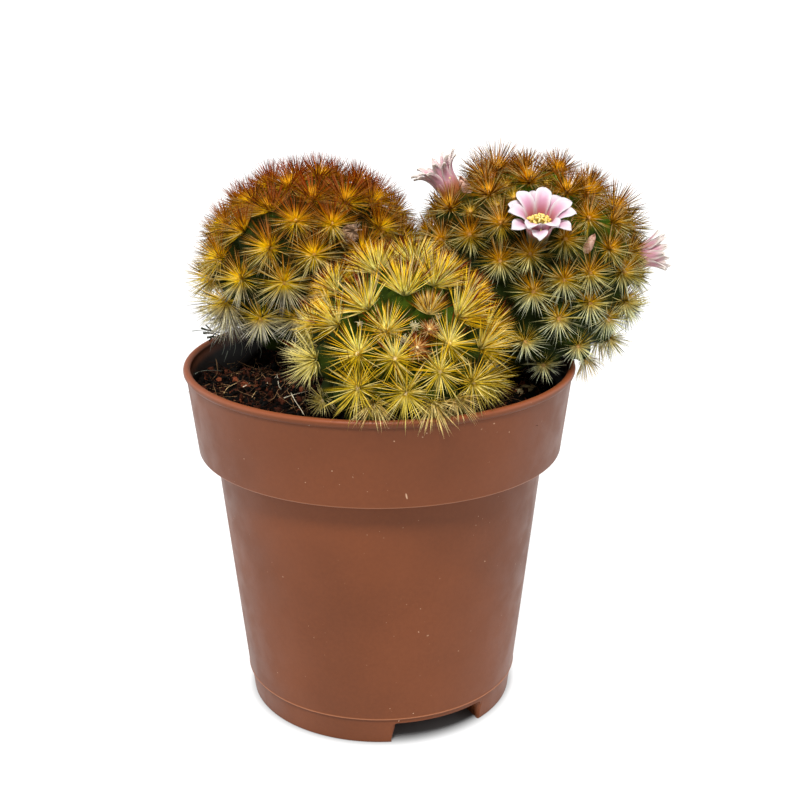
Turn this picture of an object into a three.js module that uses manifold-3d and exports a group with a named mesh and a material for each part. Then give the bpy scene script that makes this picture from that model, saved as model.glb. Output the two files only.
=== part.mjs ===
// Potted round cactus: three spiny round heads, one of them in flower, in a tapered
// plastic nursery pot. Millimetres, +Z up, pot foot on Z = 0. The shapes are laid out
// about the pot's axis, and the whole is then centred on its own footprint.

import * as THREE from 'three';
import { mergeVertices } from 'three/addons/utils/BufferGeometryUtils.js';
import { ConvexHull } from 'three/addons/math/ConvexHull.js';
import Module from 'manifold-3d';

const wasm = await Module();
wasm.setup();

// Driving dimensions

const fitGap = 0.3;               // room between two pieces that rest on each other

const pot = {
  height: 59.4,
  rimRadius: 32.5,
  beadHeight: 1.2,                // rounded lip round the rim
  collarTopRadius: 32.05,
  collarFootRadius: 30.48,
  collarFoot: 44.83,              // underside of the collar
  bodyTopRadius: 27.66,
  bodyFootRadius: 23.45,
  bodyFoot: 4.7,                  // parting line above the foot ring
  footTopRadius: 23.15,
  footRadius: 22.61,
  wall: 1,
  baseUnder: 4.3,                 // underside of the base plate
  segments: 48,
  notchTurn: [28, 208],           // degrees from the front towards the right
  notchWidth: 17,
  notchTopWidth: 15,
  notchHeight: 3.8,
  drainHoles: 6,
  drainHoleRadius: 2,
  drainRingRadius: 14,
};

const soil = {
  wallLevel: 53,                  // height of the peat beside the pot wall
  moundLevel: 56.8,               // height of the peat round the stems
  moundInner: 11,
  moundOuter: 29,
  roughness: 0.55,
  rings: 7,
  segments: 36,
  seed: 11,
};

// A head is an ellipsoid that leans. lean and towards are degrees, towards counts
// from the right (+X) towards the back (+Y). root is where its stem stands in the peat.
// Its tubercles wind round it from turn, to the side that hand gives, a spacing apart.
const heads = {
  left: {
    centre: [-11.4, 9, 72.8], radius: 16.5, halfHeight: 14.8, lean: 21, towards: 130,
    root: [-8.5, 7.5], spacing: 6.1, hand: 1, turn: 20, spine: 5, seed: 21,
  },
  right: {
    centre: [24.3, 4.2, 73.1], radius: 17, halfHeight: 16.3, lean: 21, towards: 14,
    root: [15.5, 3.5], spacing: 6.1, hand: -1, turn: 75, spine: 4.8, seed: 22,
  },
  front: {
    centre: [3, -18, 66], radius: 14, halfHeight: 12.5, lean: 53, towards: -81,
    root: [3, -12], spacing: 5.9, hand: 1, turn: 130, spine: 5.4, seed: 23,
  },
};

const tubercle = { depth: 2.3, lowest: 138 };   // lowest: degrees from the crown
const root = { topRadius: 5.5, footRadius: 4.5, foot: 44, sides: 12 };

const spines = {
  knobRadius: 0.7,                // the areole that carries a cluster
  sides: 4,                       // a cluster has three rows of four
  lifts: [13, 34, 62],            // degrees above the tubercle's own tip plane
  scatter: 9,
  footRadius: 0.4,
  sideRoom: 0.04,
  shortest: 1.6,
  crownFraction: 0.5,             // length of the youngest ones, at the crown
};

// azimuth and elevation say where on its head a flower grows, lean and towards which way
// it faces. spread is the radius that its petals need, and they rise from the throat at
// one of two lifts off the flower's axis, then curl outward. All angles are degrees.
const flowers = {
  open: {
    head: 'right', azimuth: -89.5, elevation: 37, lean: 47, towards: -90,
    length: 9.4, tubeRadius: 1.5, throatRadius: 2.6, spread: 5.7, petals: 11,
    petalLength: 5.4, lifts: [14, 24], curl: 60,
  },
  left: {
    head: 'right', azimuth: 169, elevation: 42, lean: 66, towards: 178,
    length: 10.5, tubeRadius: 1.3, throatRadius: 2.2, spread: 4.2, petals: 8,
    petalLength: 4.8, lifts: [4, 16], curl: 46,
  },
  right: {
    head: 'right', azimuth: -8, elevation: 9, lean: 22, towards: -6,
    length: 8.2, tubeRadius: 1.2, throatRadius: 1.9, spread: 2.6, petals: 8,
    petalLength: 3.8, lifts: [0, 8], curl: 14,
  },
};
const petalThickness = 0.6;

const buds = {
  bud_front: { head: 'right', azimuth: -56.5, elevation: 24.4, length: 5, radius: 0.9 },
  bud_top: { head: 'right', azimuth: 176, elevation: 56, length: 5.4, radius: 1.1 },
  dried_flower: { head: 'left', azimuth: -63, elevation: 30, length: 4.6, radius: 1.5, seed: 5 },
};

const stones = [
  { at: [24.6, -0.6], radius: 1 },
  { at: [25.6, 1.4], radius: 0.7 },
  { at: [23.2, -2.6], radius: 0.6 },
];

// Materials

const finish = (color, roughness) =>
  new THREE.MeshStandardMaterial({ color, roughness, metalness: 0 });

const finishes = {
  pot: finish(0x8a5440, 0.5),
  soil: finish(0x2c1a12, 1),
  left: finish(0x96702a, 0.8),
  right: finish(0x7d7a38, 0.8),
  front: finish(0xb9a136, 0.8),
  petal: finish(0xf0d8e0, 0.6),
  stamen: finish(0xd9c24e, 0.7),
  bud: finish(0xcf9aa0, 0.7),
  driedFlower: finish(0xa08c70, 0.9),
  stone: finish(0xb49a76, 0.8),
};

// Small helpers

const radians = THREE.MathUtils.degToRad;
const smoothstep = THREE.MathUtils.smoothstep;
const vector = (values) => new THREE.Vector3(...values);

function randomFrom(seed) {
  let state = seed;
  return () => {
    state = (state * 1664525 + 1013904223) % 4294967296;
    return state / 4294967296;
  };
}

// azimuth counts from +X towards +Y, elevation up from level
function direction(azimuth, elevation) {
  const flat = Math.cos(radians(elevation));
  return new THREE.Vector3(
    flat * Math.cos(radians(azimuth)),
    flat * Math.sin(radians(azimuth)),
    Math.sin(radians(elevation)),
  );
}

function acrossOf(axis) {
  const helper = Math.abs(axis.y) < 0.9 ? new THREE.Vector3(0, 1, 0) : new THREE.Vector3(1, 0, 0);
  return helper.cross(axis).normalize();
}

function signedVolume(positions, index) {
  const [a, b, c] = [new THREE.Vector3(), new THREE.Vector3(), new THREE.Vector3()];
  let total = 0;
  for (let i = 0; i < index.length; i += 3) {
    a.fromArray(positions, index[i] * 3);
    b.fromArray(positions, index[i + 1] * 3);
    c.fromArray(positions, index[i + 2] * 3);
    total += a.dot(b.cross(c)) / 6;
  }
  return total;
}

// A closed geometry as a solid, with its seams merged and its faces pointing out
function solidOf(geometry) {
  const bare = geometry.clone();
  bare.deleteAttribute('normal');
  bare.deleteAttribute('uv');
  const merged = mergeVertices(bare, 1e-4);
  const positions = merged.getAttribute('position').array;
  const faces = [];
  for (let i = 0; i < merged.index.count; i += 3) {
    const [p, q, r] = [0, 1, 2].map((k) => merged.index.getX(i + k));
    if (p !== q && q !== r && r !== p) faces.push([p, q, r]);
  }
  return solidFromFaces(positions, faces);
}

function solidFromFaces(positions, faces) {
  const outward = signedVolume(positions, faces.flat()) > 0;
  const triVerts = faces.flatMap(([p, q, r]) => (outward ? [p, q, r] : [p, r, q]));
  return new wasm.Manifold(new wasm.Mesh({
    numProp: 3,
    vertProperties: new Float32Array(positions),
    triVerts: new Uint32Array(triVerts),
  }));
}

function geometryOf(solid) {
  const mesh = solid.getMesh();
  const geometry = new THREE.BufferGeometry();
  geometry.setAttribute('position', new THREE.BufferAttribute(mesh.vertProperties, 3));
  geometry.setIndex(new THREE.BufferAttribute(mesh.triVerts, 1));
  geometry.computeVertexNormals();
  return geometry;
}

// The largest connected body of a solid
function mainBody(solid) {
  const bodies = solid.decompose();
  bodies.sort((first, second) => second.volume() - first.volume());
  return bodies[0];
}

// A turned shape about the line from foot along axis; profile is [radius, height] pairs
function turned(profile, segments, foot = new THREE.Vector3(), axis = new THREE.Vector3(0, 0, 1)) {
  const points = profile.map(([radius, height]) => new THREE.Vector2(radius, height));
  const geometry = new THREE.LatheGeometry(points, segments);
  geometry.applyQuaternion(new THREE.Quaternion().setFromUnitVectors(new THREE.Vector3(0, 1, 0), axis));
  geometry.translate(foot.x, foot.y, foot.z);
  return solidOf(geometry);
}

// The pot

const lipInner = pot.rimRadius - 1.25;
const collarInnerTop = pot.collarTopRadius - pot.wall;
const collarInnerFoot = pot.collarFootRadius - pot.wall;
const ledge = pot.collarFoot + pot.wall;
const bodyInnerTop = pot.bodyTopRadius - pot.wall;
const baseTop = pot.baseUnder + pot.wall;
const bodyInnerFoot = pot.bodyFootRadius - pot.wall;
const beadFoot = pot.height - pot.beadHeight;

function buildPot() {
  const shell = turned([
    [0, pot.baseUnder],
    [pot.footTopRadius - pot.wall, pot.baseUnder],
    [pot.footRadius - pot.wall, 0],
    [pot.footRadius, 0],
    [pot.footTopRadius, pot.bodyFoot - 0.3],
    [pot.bodyFootRadius, pot.bodyFoot],
    [pot.bodyTopRadius, pot.collarFoot],
    [pot.collarFootRadius - 0.35, pot.collarFoot],
    [pot.collarFootRadius, pot.collarFoot + 0.4],
    [pot.collarTopRadius, beadFoot],
    [pot.rimRadius, beadFoot + 0.25 * pot.beadHeight],
    [pot.rimRadius - 0.1, beadFoot + 0.8 * pot.beadHeight],
    [pot.rimRadius - 0.6, pot.height],
    [lipInner, pot.height - 0.35],
    [collarInnerTop, beadFoot - 0.4],
    [collarInnerFoot, ledge],
    [bodyInnerTop, ledge],
    [bodyInnerFoot, baseTop],
    [0, baseTop],
  ], pot.segments);
  const cuts = pot.notchTurn.map(footNotch);
  for (let i = 0; i < pot.drainHoles; i += 1) {
    const turn = radians((360 / pot.drainHoles) * i + 15);
    const hole = new THREE.CylinderGeometry(pot.drainHoleRadius, pot.drainHoleRadius, 3, 8);
    hole.rotateX(Math.PI / 2);
    hole.translate(
      pot.drainRingRadius * Math.cos(turn),
      pot.drainRingRadius * Math.sin(turn),
      (pot.baseUnder + baseTop) / 2,
    );
    cuts.push(solidOf(hole));
  }
  return cuts.reduce((solid, cut) => solid.subtract(cut), shell);
}

// A gap in the foot ring with sloping sides
function footNotch(turn) {
  const shape = new THREE.Shape([
    new THREE.Vector2(-pot.notchWidth / 2, -1),
    new THREE.Vector2(pot.notchWidth / 2, -1),
    new THREE.Vector2(pot.notchWidth / 2, 0.6),
    new THREE.Vector2(pot.notchTopWidth / 2 + 0.3, pot.notchHeight - 0.7),
    new THREE.Vector2(pot.notchTopWidth / 2 - 0.5, pot.notchHeight),
    new THREE.Vector2(-pot.notchTopWidth / 2 + 0.5, pot.notchHeight),
    new THREE.Vector2(-pot.notchTopWidth / 2 - 0.3, pot.notchHeight - 0.7),
    new THREE.Vector2(-pot.notchWidth / 2, 0.6),
  ]);
  const cut = new THREE.ExtrudeGeometry(shape, { depth: 10, bevelEnabled: false });
  cut.rotateX(Math.PI / 2);
  cut.translate(0, -pot.footRadius + 6, 0);
  cut.rotateZ(radians(turn));
  return solidOf(cut);
}

// The pot's collar and lip with a little room round them, for what leans over the lip
function collarRoom() {
  return turned([
    [collarInnerFoot - fitGap, ledge],
    [pot.collarFootRadius + fitGap, ledge],
    [pot.collarTopRadius + fitGap, beadFoot],
    [pot.rimRadius + fitGap, beadFoot + 0.2 * pot.beadHeight],
    [pot.rimRadius + fitGap, pot.height - 0.2],
    [pot.rimRadius - 0.5, pot.height + fitGap],
    [lipInner, pot.height + fitGap - 0.1],
    [lipInner - fitGap, pot.height - 0.4],
    [collarInnerFoot - fitGap, ledge],
  ], pot.segments);
}

// How far a point lies clear of the pot's wall and lip
function clearOfPot(point) {
  const radius = Math.hypot(point.x, point.y);
  const middle = (pot.rimRadius + lipInner) / 2;
  const wall = new THREE.Line3(
    new THREE.Vector3(pot.collarFootRadius - pot.wall / 2, pot.collarFoot, 0),
    new THREE.Vector3(middle, pot.height - pot.beadHeight / 2, 0),
  );
  const flat = new THREE.Vector3(radius, point.z, 0);
  return wall.closestPointToPoint(flat, true, new THREE.Vector3()).distanceTo(flat)
    - pot.beadHeight / 2;
}

// The peat

function soilLevel(x, y) {
  const fall = smoothstep(Math.hypot(x, y), soil.moundInner, soil.moundOuter);
  return soil.moundLevel + (soil.wallLevel - soil.moundLevel) * fall;
}

function stoneMiddle({ at: [x, y], radius }) {
  return new THREE.Vector3(x, y, soilLevel(x, y) + 0.45 * radius);
}

// How far a point lies above the peat, and clear of the stones on it
function clearOfGround(point) {
  const beside = stones.map((stone) => point.distanceTo(stoneMiddle(stone)) - 1.2 * stone.radius);
  return Math.min(point.z - soilLevel(point.x, point.y) - soil.roughness, ...beside);
}

function buildSoil(holes) {
  const random = randomFrom(soil.seed);
  const innerAt = (height) => THREE.MathUtils.mapLinear(
    height, ledge, beadFoot - 0.4, collarInnerFoot, collarInnerTop,
  ) - fitGap;
  const outerRadius = innerAt(soil.wallLevel - 1);
  const positions = [];
  const ringStart = (ring) => ring * soil.segments;
  // the sides, from the pot's base up to the peat's edge
  const sides = [
    [bodyInnerFoot - fitGap, baseTop],
    [bodyInnerTop - fitGap, ledge + fitGap],
    [collarInnerFoot - fitGap, ledge + fitGap],
    [outerRadius, soil.wallLevel - 1],
  ];
  for (const [radius, height] of sides) {
    for (let i = 0; i < soil.segments; i += 1) {
      const turn = (2 * Math.PI * i) / soil.segments;
      positions.push(radius * Math.cos(turn), radius * Math.sin(turn), height);
    }
  }
  // the rough top, drawn in ring by ring
  for (let ring = 0; ring < soil.rings; ring += 1) {
    const part = (ring + 0.35) / (soil.rings + 0.35);
    for (let i = 0; i < soil.segments; i += 1) {
      const turn = (2 * Math.PI * (i + (ring % 2) / 2)) / soil.segments;
      const radius = outerRadius * (1 - part);
      const [x, y] = [radius * Math.cos(turn), radius * Math.sin(turn)];
      const lump = soil.roughness * (2 * random() - 1);
      positions.push(x, y, soilLevel(x, y) + lump * Math.min(1, 4 * (1 - part)));
    }
  }
  const faces = [];
  const rings = sides.length + soil.rings;
  for (let ring = 0; ring + 1 < rings; ring += 1) {
    for (let i = 0; i < soil.segments; i += 1) {
      const next = (i + 1) % soil.segments;
      const [a, b] = [ringStart(ring) + i, ringStart(ring) + next];
      const [c, d] = [ringStart(ring + 1) + i, ringStart(ring + 1) + next];
      faces.push([a, b, d], [a, d, c]);
    }
  }
  const bottom = positions.length / 3;
  positions.push(0, 0, baseTop, 0, 0, soilLevel(0, 0));
  for (let i = 0; i < soil.segments; i += 1) {
    const next = (i + 1) % soil.segments;
    faces.push([bottom, next, i]);
    faces.push([bottom + 1, ringStart(rings - 1) + i, ringStart(rings - 1) + next]);
  }
  const heap = solidFromFaces(positions, faces);
  return holes.reduce((solid, hole) => solid.subtract(hole), heap);
}

// The heads

for (const head of Object.values(heads)) {
  head.axis = direction(head.towards, 90 - head.lean);
  head.across = acrossOf(head.axis);
  head.along = head.axis.clone().cross(head.across);
  head.middle = vector(head.centre);
}

// Roughly how far a point lies outside a head's tubercle tips
function outsideHead(head, point) {
  const from = point.clone().sub(head.middle);
  const [x, y, z] = [head.across, head.along, head.axis].map((side) => from.dot(side));
  const reach = Math.hypot(x / head.radius, y / head.radius, z / head.halfHeight);
  return (reach - 1) * head.radius;
}

// Clear of the pot, and nearer to its own head than to another
function clearOfNeighbours(head, point) {
  const own = outsideHead(head, point);
  const others = Object.values(heads).filter((other) => other !== head);
  const between = others.map((other) => (outsideHead(other, point) - own) / 2);
  return Math.min(clearOfPot(point), ...between);
}

function surfacePoint(head, unit, depth) {
  const shrink = 1 - depth / head.radius;
  const point = head.middle.clone()
    .addScaledVector(head.across, unit.x * head.radius * shrink)
    .addScaledVector(head.along, unit.y * head.radius * shrink)
    .addScaledVector(head.axis, unit.z * head.halfHeight * shrink);
  // where heads press on the lip or on each other, the flesh gives way
  const bodyRoom = 0.45;
  for (let i = 0; i < 60 && clearOfNeighbours(head, point) < bodyRoom; i += 1) {
    point.lerp(head.middle, 0.015);
  }
  return point;
}

// Tubercles wind round the head at the golden angle, a spacing apart
function tubercleDirections(head) {
  const golden = Math.PI * (3 - Math.sqrt(5));
  const size = Math.sqrt(head.radius * head.halfHeight);
  const count = Math.round((4 * Math.PI * size ** 2) / (0.866 * head.spacing ** 2));
  const list = [];
  for (let i = 0; i < count; i += 1) {
    const height = 1 - (2 * i + 1) / count;
    const turn = radians(head.turn) + head.hand * golden * i;
    const flat = Math.sqrt(1 - height ** 2);
    list.push(new THREE.Vector3(flat * Math.cos(turn), flat * Math.sin(turn), height));
  }
  return list;
}

// The hull of the tubercles' directions tells which are neighbours. The valleys between
// them lie at the middles of its faces, and each tubercle is ringed by its own valleys.
function valleysOf(head, directions) {
  const hull = new ConvexHull().setFromPoints(directions);
  const rings = new Map(directions.map((unit) => [unit, []]));
  const valleys = hull.faces.map((face, number) => {
    const middle = new THREE.Vector3();
    let edge = face.edge;
    for (let k = 0; k < 3; k += 1) {
      middle.add(edge.head().point);
      rings.get(edge.head().point).push(number);
      edge = edge.next;
    }
    return surfacePoint(head, middle.normalize(), tubercle.depth);
  });
  return { valleys, rings };
}

// How far a point lies clear of the flowers and buds that grow from the same head
function clearOfBlooms(head, point) {
  const near = blooms.filter((bloom) => heads[bloom.head] === head).map((bloom) => {
    const along = point.clone().sub(bloom.foot).dot(bloom.axis);
    const part = THREE.MathUtils.clamp(along / bloom.length, 0, 1);
    const beside = bloom.foot.clone().addScaledVector(bloom.axis, part * bloom.length);
    return beside.distanceTo(point) - THREE.MathUtils.lerp(bloom.radius, bloom.reach, part ** 2);
  });
  return Math.min(Infinity, ...near);
}

// The nearest that two straight spines come, less their own thickness there
function betweenSpines(first, second) {
  const [d1, d2] = [first, second].map((spine) => spine.end.clone().sub(spine.start));
  const apart = first.start.clone().sub(second.start);
  const [a, e, b] = [d1.lengthSq(), d2.lengthSq(), d1.dot(d2)];
  const [c, f] = [d1.dot(apart), d2.dot(apart)];
  const slack = a * e - b * b;
  const clamp = THREE.MathUtils.clamp;
  let part = slack > 1e-6 ? clamp((b * f - c * e) / slack, 0, 1) : 0;
  const otherPart = clamp((b * part + f) / e, 0, 1);
  part = clamp((b * otherPart - c) / a, 0, 1);
  const distance = apart.addScaledVector(d1, part).addScaledVector(d2, -otherPart).length();
  return distance - spines.footRadius * (2 - part - otherPart);
}

// The least room round a spine: beside other clusters' knobs and spines, and beside
// the outer ends of the spines that grow from the same knob
function clearOfSpines(head, spine) {
  const reach = 2.3 * head.spine;
  const line = new THREE.Line3(spine.start, spine.end);
  const nearest = new THREE.Vector3();
  const knobs = head.tips.filter((tip) => tip !== spine.hub && tip.distanceTo(spine.start) < reach)
    .map((tip) => line.closestPointToPoint(tip, true, nearest).distanceTo(tip) - 1.5 * spines.knobRadius);
  const outer = ({ start, end }) => ({ start: start.clone().lerp(end, 0.35), end });
  const others = head.grown.filter((other) => other.start.distanceTo(spine.start) < reach)
    .map((other) => (other.hub === spine.hub
      ? betweenSpines(outer(spine), outer(other)) + spines.footRadius
      : betweenSpines(spine, other)));
  return Math.min(...knobs, ...others, Infinity);
}

function clearance(head, point) {
  return Math.min(
    clearOfNeighbours(head, point),
    clearOfBlooms(head, point),
    clearOfGround(point),
  );
}

// The room round a spine. Near its root end only the ground matters, and a little less.
function spineRoom(head, foot, tip) {
  const at = (step) => foot.clone().lerp(tip, step);
  return Math.min(
    ...[0.45, 0.65, 0.82, 1].map((step) => clearance(head, at(step))),
    ...[0.1, 0.28].map((step) => clearOfGround(at(step)) + 0.2),
  );
}

// A spine rises all the way above the tubercles that it passes over
function risesFrom(head, foot, tip) {
  const start = Math.min(0.3, outsideHead(head, foot));
  const least = 0.16 * foot.distanceTo(tip);
  return [0.35, 0.7, 1].every((step) =>
    outsideHead(head, foot.clone().lerp(tip, step)) > start + least * step);
}

// Bends a spine away from what it would cross, and shortens it as a last resort
function bentClear(head, hub, foot, way, length, random) {
  const room = 0.35;
  const outward = hub.clone().sub(head.middle).normalize();
  for (let reach = length; reach > spines.shortest; reach *= 0.8) {
    const aim = way.clone();
    for (let i = 0; i < 10; i += 1) {
      const tip = foot.clone().addScaledVector(aim, reach);
      const spine = { hub, start: foot, end: tip };
      const free = spineRoom(head, foot, tip) > room;
      if (free && risesFrom(head, foot, tip) && clearOfSpines(head, spine) > spines.sideRoom) {
        head.grown.push(spine);
        return tip;
      }
      if (free) {
        const sway = new THREE.Vector3(random() - 0.5, random() - 0.5, random() - 0.5);
        aim.copy(way).addScaledVector(sway, 0.5).addScaledVector(outward, 0.03 * i).normalize();
      } else {
        const slope = ['x', 'y', 'z'].map((side) => {
          const moved = tip.clone();
          moved[side] += 0.2;
          return clearance(head, moved) - clearance(head, tip);
        });
        aim.addScaledVector(vector(slope).normalize(), 0.3).addScaledVector(outward, 0.08).normalize();
      }
    }
  }
  return null;
}

// Triangles between an outer and an inner ring of corners, each listed by its turn
function bandBetween(outer, inner) {
  const faces = [];
  const full = 2 * Math.PI;
  const at = (ring, i) => ring[i % ring.length].turn + full * Math.floor(i / ring.length);
  const first = inner.findLastIndex((corner) => corner.turn <= outer[0].turn);
  let [i, j] = [0, first < 0 ? inner.length - 1 : first];
  const shift = first < 0 ? -full : 0;
  const [lastOuter, lastInner] = [outer.length, j + inner.length];
  while (i < lastOuter || j < lastInner) {
    const [a, b] = [outer[i % outer.length].corner, inner[j % inner.length].corner];
    const outerNext = i < lastOuter ? at(outer, i + 1) : Infinity;
    const innerNext = j < lastInner ? at(inner, j + 1) + shift : Infinity;
    if (outerNext < innerNext) {
      i += 1;
      faces.push([a, outer[i % outer.length].corner, b]);
    } else {
      j += 1;
      faces.push([a, inner[j % inner.length].corner, b]);
    }
  }
  return faces;
}

// A tubercle rises from its ring of valleys. On its tip sits a small knob of two rings
// of corners, and each facet of the knob is drawn out into a spine.
function tubercleFaces(head, mesh, tip, ring, length, random) {
  const normal = tip.clone().sub(head.middle).normalize();
  const across = acrossOf(normal);
  const along = normal.clone().cross(across);
  const turnOf = (point) => {
    const from = point.clone().sub(tip);
    const turn = Math.atan2(from.dot(along), from.dot(across));
    return turn < 0 ? turn + 2 * Math.PI : turn;
  };
  const valleys = ring.map((corner) => ({ corner, turn: turnOf(mesh.points[corner]) }))
    .sort((first, second) => first.turn - second.turn);
  const add = (point) => mesh.points.push(point) - 1;
  if (length === 0) {
    const top = add(tip);
    valleys.forEach(({ corner }, i) => {
      mesh.faces.push([top, corner, valleys[(i + 1) % valleys.length].corner]);
    });
    return;
  }
  const knob = (radius, height, turn) => add(tip.clone()
    .addScaledVector(across, radius * Math.cos(turn))
    .addScaledVector(along, radius * Math.sin(turn))
    .addScaledVector(normal, height));
  const step = (2 * Math.PI) / spines.sides;
  const start = step * random();
  const ringTurns = Array.from({ length: spines.sides }, (_, i) => start + step * i);
  const lower = ringTurns.map((turn) => ({ turn, corner: knob(spines.knobRadius, -0.35, turn) }));
  const upper = ringTurns.map((turn) => knob(0.75 * spines.knobRadius, 0.3, turn + step / 2));
  const top = knob(0, 0.65, 0);
  mesh.faces.push(...bandBetween(valleys, lower));
  const drawOut = (triangle, lift, turn) => {
    const foot = triangle.reduce((sum, corner) => sum.add(mesh.points[corner]), new THREE.Vector3())
      .divideScalar(3);
    const scatter = radians(spines.scatter) * (2 * random() - 1);
    const rise = radians(lift) + 0.7 * scatter;
    const way = across.clone().multiplyScalar(Math.cos(turn + scatter) * Math.cos(rise))
      .addScaledVector(along, Math.sin(turn + scatter) * Math.cos(rise))
      .addScaledVector(normal, Math.sin(rise));
    const end = bentClear(head, tip, foot, way, length * (0.86 + 0.28 * random()), random);
    if (end === null) mesh.faces.push(triangle);
    else mesh.spines.push({ triangle, apex: add(end) });
  };
  for (let i = 0; i < spines.sides; i += 1) {
    const next = (i + 1) % spines.sides;
    const turn = start + step * i;
    const [lowHere, lowNext] = [lower[i].corner, lower[next].corner];
    drawOut([lowHere, lowNext, upper[i]], spines.lifts[0], turn + step / 2);
    drawOut([upper[i], lowNext, upper[next]], spines.lifts[1], turn + step);
    drawOut([top, upper[i], upper[next]], spines.lifts[2], turn + step);
  }
}

const spineFaces = ({ triangle: [p, q, r], apex }) => [[p, q, apex], [q, r, apex], [r, p, apex]];

// Leaves out a spine that still runs through something, and closes its facet again
function closedFaces({ points, faces, spines: grown }) {
  const kept = new Set(grown);
  const reach = 9;
  const pierces = (spine, [a, b, c]) => spine.triangle.some((corner) => {
    if ([a, b, c].includes(corner) || [a, b, c].includes(spine.apex)) return false;
    const [from, to] = [points[corner], points[spine.apex]];
    const ray = new THREE.Ray(from, to.clone().sub(from).normalize());
    const hit = ray.intersectTriangle(points[a], points[b], points[c], false, new THREE.Vector3());
    return hit !== null && hit.distanceTo(from) < from.distanceTo(to);
  });
  for (const spine of grown) {
    const foot = points[spine.triangle[0]];
    const near = ([corner]) => points[corner].distanceTo(foot) < reach;
    const others = [...kept].filter((other) => other !== spine && near(other.triangle));
    const around = [...faces.filter(near), ...others.flatMap(spineFaces)];
    if (around.some((face) => pierces(spine, face))) {
      kept.delete(spine);
      faces.push(spine.triangle);
    }
  }
  return [...faces, ...[...kept].flatMap(spineFaces)];
}

function buildHead(head) {
  const random = randomFrom(head.seed);
  const directions = tubercleDirections(head);
  const { valleys, rings } = valleysOf(head, directions);
  const lowest = Math.cos(radians(tubercle.lowest));
  const mesh = { points: valleys, faces: [], spines: [] };
  head.grown = [];
  head.tips = directions
    .map((unit) => surfacePoint(head, unit, unit.z < lowest ? tubercle.depth / 2 : 0));
  directions.forEach((unit, i) => {
    const tip = head.tips[i];
    const bare = unit.z < lowest
      || clearOfGround(tip) < spines.knobRadius + fitGap
      || clearOfBlooms(head, tip) < spines.knobRadius + fitGap;
    const age = smoothstep(Math.acos(unit.z), 0, radians(40));
    const length = head.spine * (spines.crownFraction + (1 - spines.crownFraction) * age);
    tubercleFaces(head, mesh, tip, rings.get(unit), bare ? 0 : length, random);
  });
  const flesh = solidFromFaces(mesh.points.flatMap((point) => point.toArray()), closedFaces(mesh));
  const cuts = blooms.filter((bloom) => heads[bloom.head] === head).map((bloom) => bloom.socket);
  cuts.push(collarRoom());
  return mainBody(cuts.reduce((solid, cut) => solid.subtract(cut), flesh.add(rootPlug(head, 0))));
}

// The stem's buried end, or with room added, the hole that it stands in
function rootPlug(head, room) {
  const foot = new THREE.Vector3(head.root[0], head.root[1], root.foot - room);
  const top = head.middle.clone().addScaledVector(head.axis, -0.35 * head.halfHeight);
  const length = foot.distanceTo(top);
  return turned([
    [0, 0],
    [root.footRadius + room, 0],
    [root.topRadius + room, 0.6 * length],
    [root.topRadius + room, length],
    [0, length],
  ], root.sides, foot, top.sub(foot).normalize());
}

// The hollow that a head's underside presses into the peat
function headHollow(head) {
  const hollow = new THREE.SphereGeometry(1, 20, 12);
  const room = 0.5;
  hollow.scale(head.radius + room, head.radius + room, head.halfHeight + room);
  const upright = new THREE.Vector3(0, 0, 1);
  hollow.applyQuaternion(new THREE.Quaternion().setFromUnitVectors(upright, head.axis));
  hollow.translate(...head.centre);
  return solidOf(hollow);
}

// Flowers and buds

// Where a bloom grows: in the valley between tubercles, in a given direction
function placeBloom(spec, radius, reach, axis) {
  const head = heads[spec.head];
  const way = direction(spec.azimuth, spec.elevation);
  const unit = new THREE.Vector3(
    way.dot(head.across) / head.radius,
    way.dot(head.along) / head.radius,
    way.dot(head.axis) / head.halfHeight,
  );
  const depth = tubercle.depth + 0.4;
  const scale = (1 - depth / head.radius) / unit.length();
  const foot = head.middle.clone().addScaledVector(way, scale);
  const socket = turned([
    [0, -fitGap],
    [radius + fitGap, -fitGap],
    [radius + fitGap, spec.length],
    [0, spec.length],
  ], 10, foot, axis);
  return { ...spec, radius, reach, axis, foot, socket };
}

function placeFlower(spec) {
  const axis = direction(spec.towards, spec.lean);
  return placeBloom(spec, spec.throatRadius, spec.spread, axis);
}

const placedFlowers = Object.fromEntries(
  Object.entries(flowers).map(([name, spec]) => [name, placeFlower(spec)]),
);
const placedBuds = Object.fromEntries(Object.entries(buds).map(([name, spec]) => {
  const axis = direction(spec.azimuth, spec.elevation);
  return [name, placeBloom(spec, spec.radius, spec.radius, axis)];
}));
const blooms = [...Object.values(placedFlowers), ...Object.values(placedBuds)];

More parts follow.
